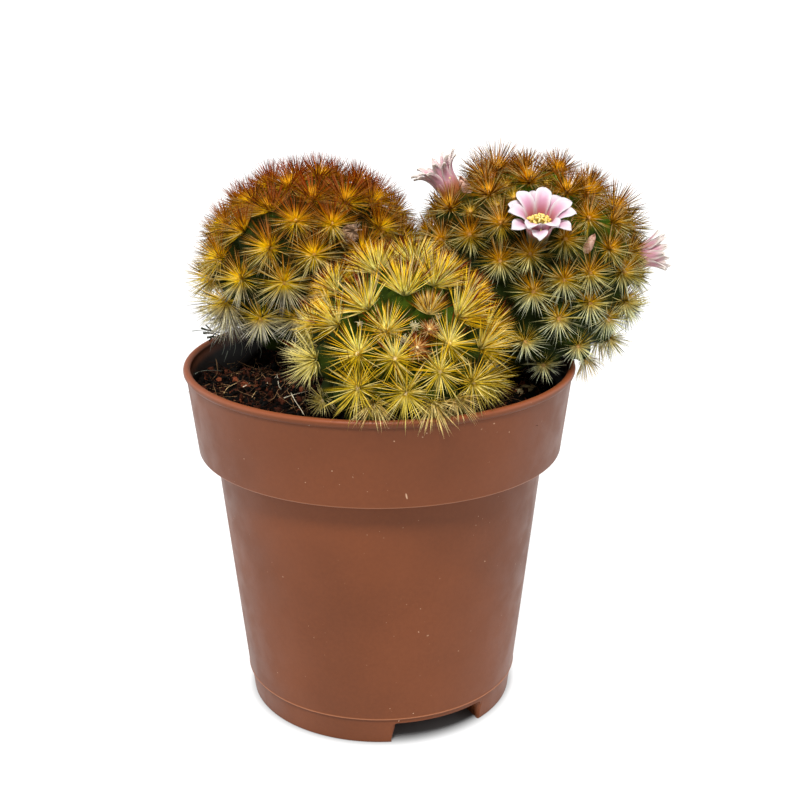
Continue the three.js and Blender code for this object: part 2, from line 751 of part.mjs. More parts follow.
// A funnel that opens into petals. Going round the flower, each petal has two shoulders,
// and a valley lies between it and the next. Going up, there is an inner and an outer skin.
function buildFlower(flower) {
  const step = (2 * Math.PI) / flower.petals;
  const lip = flower.length - 0.6 * flower.petalLength;
  const floor = lip - flower.throatRadius;
  const columns = Array.from({ length: flower.petals }, (_, i) => {
    const lift = flower.lifts[i % 2];
    return [[-0.5, 0.3, flower.lifts[0]], [-0.24, 0.96, lift], [0.24, 0.96, lift]]
      .map(([part, reach, rise]) => ({ turn: step * (i + part), reach, lift: rise }));
  }).flat();
  // a petal curls evenly from its root to its tip; part runs from 0 to 1
  const petalAt = (column, part, skin) => {
    const pitchAt = (u) => radians(column.lift + flower.curl * u * column.reach);
    const length = flower.petalLength * column.reach * part;
    const slices = 6;
    let [radius, height] = [flower.throatRadius - petalThickness, lip];
    for (let i = 0; i < slices; i += 1) {
      const pitch = pitchAt(((i + 0.5) / slices) * part);
      radius += (Math.sin(pitch) * length) / slices;
      height += (Math.cos(pitch) * length) / slices;
    }
    const pitch = pitchAt(part);
    return [radius + skin * Math.cos(pitch), height - skin * Math.sin(pitch)];
  };
  const rows = [
    () => [flower.tubeRadius - 0.5, floor],
    (column) => petalAt(column, 0, 0),
    (column) => petalAt(column, 0.55, 0),
    (column) => petalAt(column, 1, 0),
    (column) => petalAt(column, 1, petalThickness),
    (column) => petalAt(column, 0.55, petalThickness),
    (column) => petalAt(column, 0, petalThickness),
    () => [flower.tubeRadius, 0],
  ];
  const across = acrossOf(flower.axis);
  const along = flower.axis.clone().cross(across);
  const points = rows.flatMap((row) => columns.map((column) => {
    const [radius, height] = row(column);
    return flower.foot.clone().addScaledVector(flower.axis, height)
      .addScaledVector(across, radius * Math.cos(column.turn))
      .addScaledVector(along, radius * Math.sin(column.turn));
  }));
  const count = columns.length;
  const faces = [];
  for (let row = 0; row + 1 < rows.length; row += 1) {
    for (let i = 0; i < count; i += 1) {
      const [a, b] = [row * count + i, row * count + ((i + 1) % count)];
      faces.push([a, b, b + count], [a, b + count, a + count]);
    }
  }
  const foot = (rows.length - 1) * count;
  for (let i = 1; i + 1 < count; i += 1) {
    faces.push([0, i + 1, i], [foot, foot + i, foot + i + 1]);
  }
  return solidFromFaces(points.flatMap((point) => point.toArray()), faces);
}

// Style and stamens of the open flower, standing on the throat's floor
function buildStamens(flower) {
  const lip = flower.length - 0.6 * flower.petalLength;
  const floor = lip - flower.throatRadius;
  const foot = flower.foot.clone().addScaledVector(flower.axis, floor + fitGap);
  const pieces = [turned([[0, 0], [0.6, 0], [0.6, 0.5], [0.4, 2.6], [0.8, 3.2], [0, 3.6]],
    5, foot, flower.axis)];
  const across = acrossOf(flower.axis);
  const along = flower.axis.clone().cross(across);
  const stamens = 8;
  for (let i = 0; i < stamens; i += 1) {
    const turn = (2 * Math.PI * i) / stamens;
    const lean = radians(i % 2 ? 17 : 26);
    const way = flower.axis.clone().multiplyScalar(Math.cos(lean))
      .addScaledVector(across, Math.sin(lean) * Math.cos(turn))
      .addScaledVector(along, Math.sin(lean) * Math.sin(turn));
    const start = foot.clone().addScaledVector(flower.axis, 0.35);
    pieces.push(turned([[0, 0], [0.2, 0], [0.4, 2.4], [0, 3]], 3, start, way));
  }
  return mainBody(wasm.Manifold.union(pieces));
}

function buildBud(bud) {
  const { radius, length } = bud;
  return turned([
    [0, 0],
    [0.7 * radius, 0],
    [radius, 0.35 * length],
    [0.9 * radius, 0.7 * length],
    [0.4 * radius, 0.92 * length],
    [0, length],
  ], 8, bud.foot, bud.axis);
}

// A spent flower: a short stub with its withered petals folded over it
function buildDriedFlower(bud) {
  const { radius, length, axis, foot } = bud;
  const random = randomFrom(bud.seed);
  const pieces = [turned([[0, 0], [0.8 * radius, 0], [radius, 0.7 * length], [0, 0.85 * length]],
    6, foot, axis)];
  const across = acrossOf(axis);
  const along = axis.clone().cross(across);
  for (let i = 0; i < 6; i += 1) {
    const turn = radians(60 * i) + 0.5 * random();
    const lean = radians(18 + 30 * random());
    const way = axis.clone().multiplyScalar(Math.cos(lean))
      .addScaledVector(across, Math.sin(lean) * Math.cos(turn))
      .addScaledVector(along, Math.sin(lean) * Math.sin(turn));
    const start = foot.clone().addScaledVector(axis, 0.35 * length);
    pieces.push(turned([[0, 0], [0.45, 0], [0.6, 0.4 * length], [0, 0.7 * length]], 4, start, way));
  }
  return mainBody(wasm.Manifold.union(pieces));
}

// Stones

function stoneShape(stone, room) {
  const geometry = new THREE.IcosahedronGeometry(stone.radius + room, 0);
  geometry.scale(1.2, 1, 0.8);
  geometry.rotateZ(stone.radius * 40);
  geometry.translate(...stoneMiddle(stone));
  return solidOf(geometry);
}

// The assembly

const group = new THREE.Group();

function addPiece(name, solid, material) {
  const mesh = new THREE.Mesh(geometryOf(solid), material);
  mesh.name = name;
  group.add(mesh);
}

const holes = Object.values(heads).flatMap((head) => [rootPlug(head, fitGap), headHollow(head)]);
holes.push(...stones.map((stone) => stoneShape(stone, fitGap)));

addPiece('pot', buildPot(), finishes.pot);
addPiece('soil', mainBody(buildSoil(holes)), finishes.soil);
for (const [name, head] of Object.entries(heads)) {
  addPiece(`stem_${name}`, buildHead(head), finishes[name]);
}
for (const [name, flower] of Object.entries(placedFlowers)) {
  addPiece(`flower_${name}`, buildFlower(flower), finishes.petal);
}
addPiece('flower_open_stamens', buildStamens(placedFlowers.open), finishes.stamen);
addPiece('bud_front', buildBud(placedBuds.bud_front), finishes.bud);
addPiece('bud_top', buildBud(placedBuds.bud_top), finishes.bud);
addPiece('dried_flower', buildDriedFlower(placedBuds.dried_flower), finishes.driedFlower);
stones.forEach((stone, number) => {
  addPiece(`stone_${number + 1}`, stoneShape(stone, 0), finishes.stone);
});

// The origin is the middle of the whole footprint, on the surface that the pot stands on
const box = new THREE.Box3().setFromObject(group);
const footprint = box.getCenter(new THREE.Vector3());
group.position.set(-footprint.x, -footprint.y, 0);

export default group;
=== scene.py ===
# Potted round cactus: three spiny heads, one of them in flower, in a plastic nursery pot.
# Everything is modelled in millimetres about the pot's axis. intoFrame brings each
# finished piece into metres and to the pot's place.
import math

import bpy
import numpy as np
from mathutils import Matrix, Vector


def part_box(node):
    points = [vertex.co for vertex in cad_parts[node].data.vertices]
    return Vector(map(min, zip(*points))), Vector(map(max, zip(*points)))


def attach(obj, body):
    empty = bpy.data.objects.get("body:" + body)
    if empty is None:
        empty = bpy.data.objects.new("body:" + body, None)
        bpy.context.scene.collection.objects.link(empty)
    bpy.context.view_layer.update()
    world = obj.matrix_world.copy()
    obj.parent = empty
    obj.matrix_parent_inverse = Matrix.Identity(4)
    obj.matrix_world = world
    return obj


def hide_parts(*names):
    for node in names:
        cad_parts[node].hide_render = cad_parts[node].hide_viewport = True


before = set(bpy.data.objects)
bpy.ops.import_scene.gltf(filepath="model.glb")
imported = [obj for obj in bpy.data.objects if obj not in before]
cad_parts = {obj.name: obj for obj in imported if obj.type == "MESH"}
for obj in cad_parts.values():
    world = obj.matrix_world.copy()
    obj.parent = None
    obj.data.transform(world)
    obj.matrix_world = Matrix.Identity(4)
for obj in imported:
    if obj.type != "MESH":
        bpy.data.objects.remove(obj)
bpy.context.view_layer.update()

mm = 0.001
potLow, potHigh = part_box("pot")
potMiddle = (potLow + potHigh) / 2
intoMetres = Matrix.Translation((potMiddle.x, potMiddle.y, 0)) @ Matrix.Scale(mm, 4)
goldenAngle = math.pi * (3 - math.sqrt(5))


# Helpers for objects

def deselectAll():
    if bpy.context.object and bpy.context.object.mode != "OBJECT":
        bpy.ops.object.mode_set(mode="OBJECT")
    bpy.ops.object.select_all(action="DESELECT")


def pickOnly(obj):
    deselectAll()
    obj.select_set(True)
    bpy.context.view_layer.objects.active = obj


def named(name):
    obj = bpy.context.object
    obj.name = name
    obj.data.name = name
    return obj


def meshObject(name, points, faces, edges=()):
    mesh = bpy.data.meshes.new(name)
    mesh.from_pydata([tuple(p) for p in points], list(edges), [tuple(f) for f in faces])
    mesh.update()
    obj = bpy.data.objects.new(name, mesh)
    bpy.context.scene.collection.objects.link(obj)
    return obj


def applyModifiers(obj):
    pickOnly(obj)
    for modifier in list(obj.modifiers):
        bpy.ops.object.modifier_apply(modifier=modifier.name)


def cleanShell(obj):
    pickOnly(obj)
    bpy.ops.object.mode_set(mode="EDIT")
    bpy.ops.mesh.select_all(action="SELECT")
    bpy.ops.mesh.remove_doubles(threshold=1e-4)
    bpy.ops.mesh.normals_make_consistent(inside=False)
    bpy.ops.object.mode_set(mode="OBJECT")


def pointsOf(obj):
    return np.array([tuple(v.co) for v in obj.data.vertices])


def facesOf(obj):
    return np.array([tuple(f.vertices) for f in obj.data.polygons])


def movePoints(obj, points):
    obj.data.vertices.foreach_set("co", points.astype(np.float32).ravel())
    obj.data.update()


def manyOf(name, points, triangles):
    # one mesh of many like shapes, each with its own points
    count, corners = points.shape[:2]
    faces = triangles[None] + (np.arange(count) * corners)[:, None, None]
    return meshObject(name, points.reshape(-1, 3), faces.reshape(-1, 3).tolist())


def combine(obj, others, operation):
    for other in others:
        step = obj.modifiers.new("step", "BOOLEAN")
        step.operation = operation
        step.solver = "EXACT"
        step.object = other
    applyModifiers(obj)
    discard(*others)


def thicken(obj, thickness):
    # gives a petal or a scale its thickness, and rounds it
    solid = obj.modifiers.new("solid", "SOLIDIFY")
    solid.thickness = thickness
    solid.offset = 0
    finer = obj.modifiers.new("finer", "SUBSURF")
    finer.levels = 1
    finer.render_levels = 1
    applyModifiers(obj)


def joined(pieces, name):
    deselectAll()
    for piece in pieces:
        piece.select_set(True)
    bpy.context.view_layer.objects.active = pieces[0]
    if len(pieces) > 1:
        bpy.ops.object.join()
    pieces[0].name = name
    pieces[0].data.name = name
    return pieces[0]


def discard(*objs):
    for obj in objs:
        bpy.data.objects.remove(obj, do_unlink=True)


def smooth(obj, angle=180):
    pickOnly(obj)
    bpy.ops.object.shade_smooth_by_angle(angle=math.radians(angle))


def intoFrame(obj, material, slotName, *nodes):
    obj.data.transform(intoMetres)
    obj.data.materials.clear()
    obj.data.materials.append(material)
    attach(obj, "root")
    if nodes:
        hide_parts(*nodes)
    print("made", obj.name, len(obj.data.polygons), "faces")
    return obj


def turnedShape(name, profile, steps):
    points = [(radius, 0, height) for radius, height in profile]
    edges = [(i, i + 1) for i in range(len(points) - 1)]
    obj = meshObject(name, points, [], edges)
    pickOnly(obj)
    bpy.ops.object.mode_set(mode="EDIT")
    bpy.ops.mesh.select_all(action="SELECT")
    bpy.ops.mesh.spin(steps=steps, angle=2 * math.pi, center=(0, 0, 0), axis=(0, 0, 1))
    bpy.ops.object.mode_set(mode="OBJECT")
    cleanShell(obj)
    return obj


def arc(centre, radii, start, end, steps):
    turns = np.radians(np.linspace(start, end, steps))
    return [(centre[0] + radii[0] * math.cos(t), centre[1] + radii[1] * math.sin(t)) for t in turns]


def paint(obj, colors):
    layer = obj.data.attributes.new("tint", "FLOAT_COLOR", "POINT")
    full = np.ones((len(colors), 4), np.float32)
    full[:, :3] = colors
    layer.data.foreach_set("color", full.ravel())


def weigh(obj, name, values):
    layer = obj.data.attributes.new(name, "FLOAT", "POINT")
    layer.data.foreach_set("value", np.asarray(values, np.float32))


# Helpers for shapes

def srgb(*values):
    parts = np.array(values, float) / 255
    return np.where(parts <= 0.04045, parts / 12.92, ((parts + 0.055) / 1.055) ** 2.4)


def direction(azimuth, elevation):
    a, e = math.radians(azimuth), math.radians(elevation)
    return np.array([math.cos(e) * math.cos(a), math.cos(e) * math.sin(a), math.sin(e)])


def unitOf(vectors):
    return vectors / np.maximum(np.linalg.norm(vectors, axis=-1, keepdims=True), 1e-9)


def sidesOf(axes):
    helper = np.where(np.abs(axes[..., 1:2]) < 0.9, [[0.0, 1.0, 0.0]], [[1.0, 0.0, 0.0]])
    across = unitOf(np.cross(helper, axes))
    return across, np.cross(axes, across)


def matrixOf(*columns):
    matrix = Matrix.Identity(4)
    for column, side in enumerate(columns):
        for row in range(3):
            matrix[row][column] = side[row]
    return matrix


def frameOf(axis, foot):
    across, along = sidesOf(np.array([axis]))
    return matrixOf(across[0], along[0], axis, foot)


def rise(values, low, high):
    part = np.clip((values - low) / (high - low), 0, 1)
    return part * part * (3 - 2 * part)


# Camera at the photograph's angle

cameraPlace = {
    "position": (0.114, -223.46, 125.74),
    "pitch": 18.26,               # degrees down
    "yaw": 0.84,                  # degrees to the right
    "roll": -0.09,
    "lens": 62.83,
    "sensor": 36,
    "imageSize": 800,
}


def cameraSides():
    pitch, yaw, roll = [math.radians(cameraPlace[key]) for key in ("pitch", "yaw", "roll")]
    flat = math.cos(pitch)
    forward = np.array([math.sin(yaw) * flat, math.cos(yaw) * flat, -math.sin(pitch)])
    right = np.array([math.cos(yaw), -math.sin(yaw), 0])
    up = np.cross(right, forward)
    turnedRight = math.cos(roll) * right + math.sin(roll) * up
    turnedUp = math.cos(roll) * up - math.sin(roll) * right
    return turnedRight, turnedUp, forward


focal = cameraPlace["lens"] / cameraPlace["sensor"] * cameraPlace["imageSize"]    # in pixels


def rayThrough(px, py):
    # the line of sight through a pixel
    right, up, forward = cameraSides()
    half = cameraPlace["imageSize"] / 2
    way = forward + right * (px - half) / focal + up * (half - py) / focal
    return np.array(cameraPlace["position"]), unitOf(way)


def makeCamera():
    camera = bpy.data.objects.new("camera", bpy.data.cameras.new("camera"))
    bpy.context.scene.collection.objects.link(camera)
    camera.data.lens = cameraPlace["lens"]
    camera.data.sensor_width = cameraPlace["sensor"]
    camera.data.clip_start = 0.01
    camera.data.clip_end = 20
    right, up, forward = cameraSides()
    place = intoMetres @ Vector(cameraPlace["position"])
    camera.matrix_world = matrixOf(right, up, -forward, place)
    bpy.context.scene.camera = camera


makeCamera()
print("camera placed")


# Helpers for materials

def startMaterial(name, **sockets):
    material = bpy.data.materials.new(name)
    material.use_nodes = True
    tree = material.node_tree
    shader = tree.nodes["Principled BSDF"]
    for socket, value in sockets.items():
        shader.inputs[socket.replace("_", " ")].default_value = value
    coordinates = tree.nodes.new("ShaderNodeTexCoord")
    mapping = tree.nodes.new("ShaderNodeMapping")
    mapping.inputs["Location"].default_value = (-potMiddle.x / mm, -potMiddle.y / mm, 0)
    mapping.inputs["Scale"].default_value = (1 / mm, 1 / mm, 1 / mm)
    tree.links.new(coordinates.outputs["Object"], mapping.inputs["Vector"])
    return material, tree, shader, mapping.outputs["Vector"]


def noise(tree, place, scale, detail=3, roughness=0.5):
    node = tree.nodes.new("ShaderNodeTexNoise")
    node.inputs["Scale"].default_value = scale
    node.inputs["Detail"].default_value = detail
    node.inputs["Roughness"].default_value = roughness
    tree.links.new(place, node.inputs["Vector"])
    return node.outputs["Fac"]


def spread(tree, value, low, high, first=0, last=1):
    node = tree.nodes.new("ShaderNodeMapRange")
    node.interpolation_type = "SMOOTHSTEP"
    tree.links.new(value, node.inputs["Value"])
    for key, number in (("From Min", low), ("From Max", high), ("To Min", first), ("To Max", last)):
        node.inputs[key].default_value = number
    return node.outputs["Result"]


def fill(tree, socket, value):
    if isinstance(value, bpy.types.NodeSocket):
        tree.links.new(value, socket)
    elif hasattr(value, "__len__"):
        socket.default_value = (*value[:3], 1)
    else:
        socket.default_value = value


def blendColors(tree, share, first, second, mode="MIX"):
    node = tree.nodes.new("ShaderNodeMix")
    node.data_type = "RGBA"
    node.blend_type = mode
    fill(tree, node.inputs[0], share)
    fill(tree, node.inputs[6], first)
    fill(tree, node.inputs[7], second)
    return node.outputs[2]


def maths(tree, operation, first, second=0.0):
    node = tree.nodes.new("ShaderNodeMath")
    node.operation = operation
    fill(tree, node.inputs[0], first)
    fill(tree, node.inputs[1], second)
    return node.outputs[0]


def attribute(tree, name, output="Fac"):
    node = tree.nodes.new("ShaderNodeAttribute")
    node.attribute_name = name
    return node.outputs[output]


def lengthOf(tree, vector):
    node = tree.nodes.new("ShaderNodeVectorMath")
    node.operation = "LENGTH"
    tree.links.new(vector, node.inputs[0])
    return node.outputs["Value"]


def heightOf(tree, place):
    node = tree.nodes.new("ShaderNodeSeparateXYZ")
    tree.links.new(place, node.inputs[0])
    return node.outputs["Z"]


def bump(tree, shader, height, depth, strength=1):
    node = tree.nodes.new("ShaderNodeBump")
    node.inputs["Strength"].default_value = strength
    node.inputs["Distance"].default_value = depth * mm
    tree.links.new(height, node.inputs["Height"])
    tree.links.new(node.outputs["Normal"], shader.inputs["Normal"])


def flecked(tree, place, grain, low, high):
    # the colour painted on the piece, darker and paler by a noise
    fleck = spread(tree, noise(tree, place, *grain), 0.3, 0.7, low, high)
    return blendColors(tree, 1, attribute(tree, "tint", "Color"), fleck, "MULTIPLY")


def mottledMaterial(name, roughness, grain, between, first, second, relief, depth, strength):
    # two colours mixed by a noise, over a fine relief
    material, tree, shader, place = startMaterial(name, Roughness=roughness)
    tone = blendColors(tree, spread(tree, noise(tree, place, *grain), *between), first, second)
    tree.links.new(tone, shader.inputs["Base Color"])
    bump(tree, shader, noise(tree, place, *relief), depth, strength)
    return material


# The pot

pot = {
    "height": 59.4,
    "rimRadius": 32.5,
    "beadHeight": 1.3,
    "beadWidth": 1.25,
    "beadDrop": 1.2,              # how far below the rim the collar meets the bead
    "collarTopRadius": 32.05,
    "collarFootRadius": 30.48,
    "collarFoot": 44.83,
    "bodyTopRadius": 27.66,
    "bodyFootRadius": 23.45,
    "bodyFoot": 4.7,
    "footTopRadius": 23.15,
    "footRadius": 22.61,
    "wall": 1.0,
    "baseUnder": 4.3,
    "steps": 180,
    "notchTurns": (25.4, 205.4),  # degrees from the front towards the right
    "notchWidth": 17,
    "notchTopWidth": 15,
    "notchHeight": 3.8,
    "notchReturn": 5,             # how far the wall turns inwards at the notch's ends
    "notchCorner": 1,             # and the rounding where it turns
    "drainHoles": 6,
    "drainHoleRadius": 2,
    "drainRingRadius": 14,
    "brown": srgb(104, 55, 28),
    # paler brown for the painted highlight on the top of the lip
    "lipHighlight": srgb(126, 66, 36),
    "seamHighlightBrown": srgb(168, 112, 80),
    "dust": srgb(196, 160, 130),
    # near black on the inner wall: partly peat stain, partly painted shade
    "inside": srgb(6, 5, 4),
    "nickAt": (406.5, 496),       # a pale nick in the collar's lower edge, in pixels
    "nickSize": (0.13, 2, 0.55),
    "nickLean": -12,
}
lipInner = pot["rimRadius"] - pot["beadWidth"]
beadFoot = pot["height"] - pot["beadDrop"]
ledge = pot["collarFoot"] + pot["wall"]
baseTop = pot["baseUnder"] + pot["wall"]
collarInnerTop = pot["collarTopRadius"] - pot["wall"]
collarInnerFoot = pot["collarFootRadius"] - pot["wall"]
bodyInnerTop = pot["bodyTopRadius"] - pot["wall"]
bodyInnerFoot = pot["bodyFootRadius"] - pot["wall"]


def potProfile():
    p = pot
    foot = p["footRadius"]
    innerFoot = foot - p["wall"]
    beadMiddle = ((p["rimRadius"] + lipInner) / 2, p["height"] - p["beadHeight"] / 2)
    beadRadii = ((p["rimRadius"] - lipInner) / 2, p["beadHeight"] / 2)
    return [
        (0, p["baseUnder"] - 0.35), (1.1, p["baseUnder"] - 0.35), (1.4, p["baseUnder"]),
        (8, p["baseUnder"]), (p["footTopRadius"] - p["wall"] - 0.4, p["baseUnder"]),
        (p["footTopRadius"] - p["wall"] - 0.1, p["baseUnder"] - 0.3),
        *arc((innerFoot + 0.25, 0.25), (0.25, 0.25), 180, 270, 4),
        *arc((foot - 0.3, 0.3), (0.3, 0.3), 270, 360, 5),
        (p["footTopRadius"] - 0.02, p["bodyFoot"] - 0.3),
        (p["footTopRadius"], p["bodyFoot"] - 0.12),
        (p["bodyFootRadius"] + 0.02, p["bodyFoot"]),
        (p["bodyFootRadius"] + 0.05, p["bodyFoot"] + 0.06),
        (p["bodyFootRadius"] - 0.02, p["bodyFoot"] + 0.26),
        (p["bodyFootRadius"], p["bodyFoot"] + 0.45),
        (p["bodyTopRadius"] - 0.02, p["collarFoot"] - 0.2),
        (p["bodyTopRadius"] + 0.15, p["collarFoot"]),
        *arc((p["collarFootRadius"] - 0.32, p["collarFoot"] + 0.32), (0.32, 0.32), 270, 354, 5),
        (p["collarTopRadius"] - 0.02, beadFoot - 0.1),
        *arc(beadMiddle, beadRadii, -52, 200, 15),
        (collarInnerTop + 0.02, beadFoot - 0.3),
        (collarInnerFoot, ledge), (bodyInnerTop, ledge), (bodyInnerFoot, baseTop), (0, baseTop),
    ]


def footNotch(turn):
    p = pot
    bend, high = p["notchCorner"], p["notchHeight"]
    wide, top = (p["notchWidth"] - bend) / 2, (p["notchTopWidth"] - bend) / 2
    half = [(wide, -1), (wide, 0.6), *arc((top - 0.5, high - 0.7), (0.8, 0.7), 0, 90, 4)]
    outline = half + [(-x, z) for x, z in reversed(half)]
    # the cutter narrows in a quarter round where it meets the wall
    outside, reach = -p["footRadius"] - 4, 10
    wallAt = -math.sqrt(p["footTopRadius"] ** 2 - (wide + bend) ** 2)
    layers = [(outside, bend)]
    layers += [(wallAt + bend * (1 - math.cos(t)), bend * (1 - math.sin(t)))
               for t in np.radians([0, 18, 36, 54, 72, 90])]
    layers += [(outside + reach, 0)]
    points = [(x + math.copysign(more, x), y, z) for y, more in layers for x, z in outline]
    size = len(outline)
    faces = [range(size), range((len(layers) - 1) * size, len(layers) * size)]
    for k in range(len(layers) - 1):
        for i in range(size):
            a, b = k * size + i, k * size + (i + 1) % size
            faces.append((a, b, b + size, a + size))
    cutter = meshObject("cutter", points, faces)
    cleanShell(cutter)
    cutter.data.transform(Matrix.Rotation(math.radians(turn), 4, "Z"))
    return cutter


def notchReturn(turn, side):
    # a block inside the foot ring, which the notch then cuts to a slanting wall
    width = 2 + pot["wall"]
    middle = pot["notchWidth"] / 2 + pot["wall"] - width / 2
    depth = pot["notchReturn"]
    wallInside = pot["footRadius"] - pot["wall"] / 2
    inward = math.sqrt(wallInside ** 2 - (middle + width / 2) ** 2) - depth / 2
    deselectAll()
    bpy.ops.mesh.primitive_cube_add(size=1, location=(side * middle, -inward, baseTop / 2),
                                    scale=(width, depth, baseTop - 0.2))
    block = named("return")
    bpy.ops.object.transform_apply(location=True, rotation=True, scale=True)
    block.data.transform(Matrix.Rotation(math.radians(turn), 4, "Z"))
    return block


def makePot():
    shell = turnedShape("cactusPot", potProfile(), pot["steps"])
    blocks = [notchReturn(turn, side) for turn in pot["notchTurns"] for side in (-1, 1)]
    combine(shell, blocks, "UNION")
    cutters = [footNotch(turn) for turn in pot["notchTurns"]]
    for i in range(pot["drainHoles"]):
        turn = math.radians(360 / pot["drainHoles"] * i + 15)
        place = (pot["drainRingRadius"] * math.cos(turn), pot["drainRingRadius"] * math.sin(turn),
                 pot["baseUnder"] + 0.5)
        deselectAll()
        bpy.ops.mesh.primitive_cylinder_add(vertices=32, radius=pot["drainHoleRadius"], depth=3,
                                            location=place)
        hole = named("cutter")
        bpy.ops.object.transform_apply(location=True, rotation=True, scale=True)
        cutters.append(hole)
    combine(shell, cutters, "DIFFERENCE")
    smooth(shell, 32)
    return shell


def onWall(px, py, radius):
    start, way = rayThrough(px, py)
    a, b = way[0] ** 2 + way[1] ** 2, 2 * (start[0] * way[0] + start[1] * way[1])
    c = start[0] ** 2 + start[1] ** 2 - radius ** 2
    return start + way * (-b - math.sqrt(b * b - 4 * a * c)) / (2 * a)


def potMaterial():
    material, tree, shader, place = startMaterial("potPlastic", Roughness=0.38,
                                                  Specular_IOR_Level=0.22)
    height = heightOf(tree, place)
    broad = spread(tree, noise(tree, place, 0.045, 2), 0.3, 0.7, 0.88, 1.1)
    fine = spread(tree, noise(tree, place, 1.6, 4, 0.6), 0.25, 0.75, 0.95, 1.05)
    tone = blendColors(tree, 1, pot["brown"], maths(tree, "MULTIPLY", broad, fine), "MULTIPLY")
    # a painted highlight along the top of the lip
    lip = spread(tree, height, pot["height"] - 0.6, pot["height"] - 0.25)
    tone = blendColors(tree, lip, tone, pot["lipHighlight"])
    # thin pale lines where the mould parts, under the collar and above the foot: painted highlights
    # where these edges catch the light
    for level, width in ((pot["collarFoot"] + 0.16, 0.14), (pot["bodyFoot"] + 0.12, 0.13)):
        off = maths(tree, "ABSOLUTE", maths(tree, "SUBTRACT", height, level))
        paleSeamHighlight = spread(tree, off, 0.4 * width, width, 0.45, 0)
        tone = blendColors(tree, paleSeamHighlight, tone, pot["seamHighlightBrown"])
    # dust specks, thicker low on the wall and on the collar
    specks = spread(tree, noise(tree, place, 1.9, 1, 0.4), 0.765, 0.8, 0, 0.8)
    patches = spread(tree, noise(tree, place, 0.12, 2), 0.45, 0.65)
    tone = blendColors(tree, maths(tree, "MULTIPLY", specks, patches), tone, pot["dust"])
    # peat stain and painted shade: the inner wall of the collar above the peat is painted near black
    flat = tree.nodes.new("ShaderNodeVectorMath")
    flat.operation = "MULTIPLY"
    tree.links.new(place, flat.inputs[0])
    flat.inputs[1].default_value = (1, 1, 0)
    slope = (collarInnerTop - collarInnerFoot) / (beadFoot - ledge)
    wallMiddle = maths(tree, "ADD", maths(tree, "MULTIPLY", height, slope),
                       collarInnerFoot + pot["wall"] / 2 - slope * ledge)
    offWall = maths(tree, "SUBTRACT", lengthOf(tree, flat.outputs[0]), wallMiddle)
    inside = spread(tree, offWall, -0.2, 0.2, 1, 0)
    below = spread(tree, height, beadFoot - 1.5, beadFoot - 0.1, 0.97, 0.15)
    above = spread(tree, height, ledge - 0.6, ledge - 0.4)
    stainedAndShaded = maths(tree, "MULTIPLY", inside, maths(tree, "MULTIPLY", below, above))
    tone = blendColors(tree, stainedAndShaded, tone, pot["inside"])
    # the nick
    nick = tree.nodes.new("ShaderNodeMapping")
    nick.vector_type = "TEXTURE"
    nick.inputs["Location"].default_value = onWall(*pot["nickAt"], pot["collarFootRadius"] + 0.1)
    nick.inputs["Rotation"].default_value = (0, math.radians(pot["nickLean"]), 0)
    nick.inputs["Scale"].default_value = pot["nickSize"]
    tree.links.new(place, nick.inputs["Vector"])
    worn = spread(tree, lengthOf(tree, nick.outputs[0]), 0.7, 1.1, 0.75, 0)
    tone = blendColors(tree, worn, tone, pot["dust"])
    tree.links.new(tone, shader.inputs["Base Color"])
    tree.links.new(spread(tree, noise(tree, place, 0.25, 3), 0.3, 0.7, 0.38, 0.5),
                   shader.inputs["Roughness"])
    bump(tree, shader, noise(tree, place, 4, 3), 0.03, 0.3)
    return material


intoFrame(makePot(), potMaterial(), "pot", "pot")


# The heads. Each is an ellipsoid that leans: lean and towards are degrees, and towards counts
# from the right to the back. Low on a head some spines are left out, and thinBetween says how
# far up the surface has to face for none to be. Towards the crown the pale spines fade, by
# paleFade, and fewer are dark, by darkFade. The front head has bold rust spines that stand up,
# and creamShare is how far its old spines on the left have bleached.

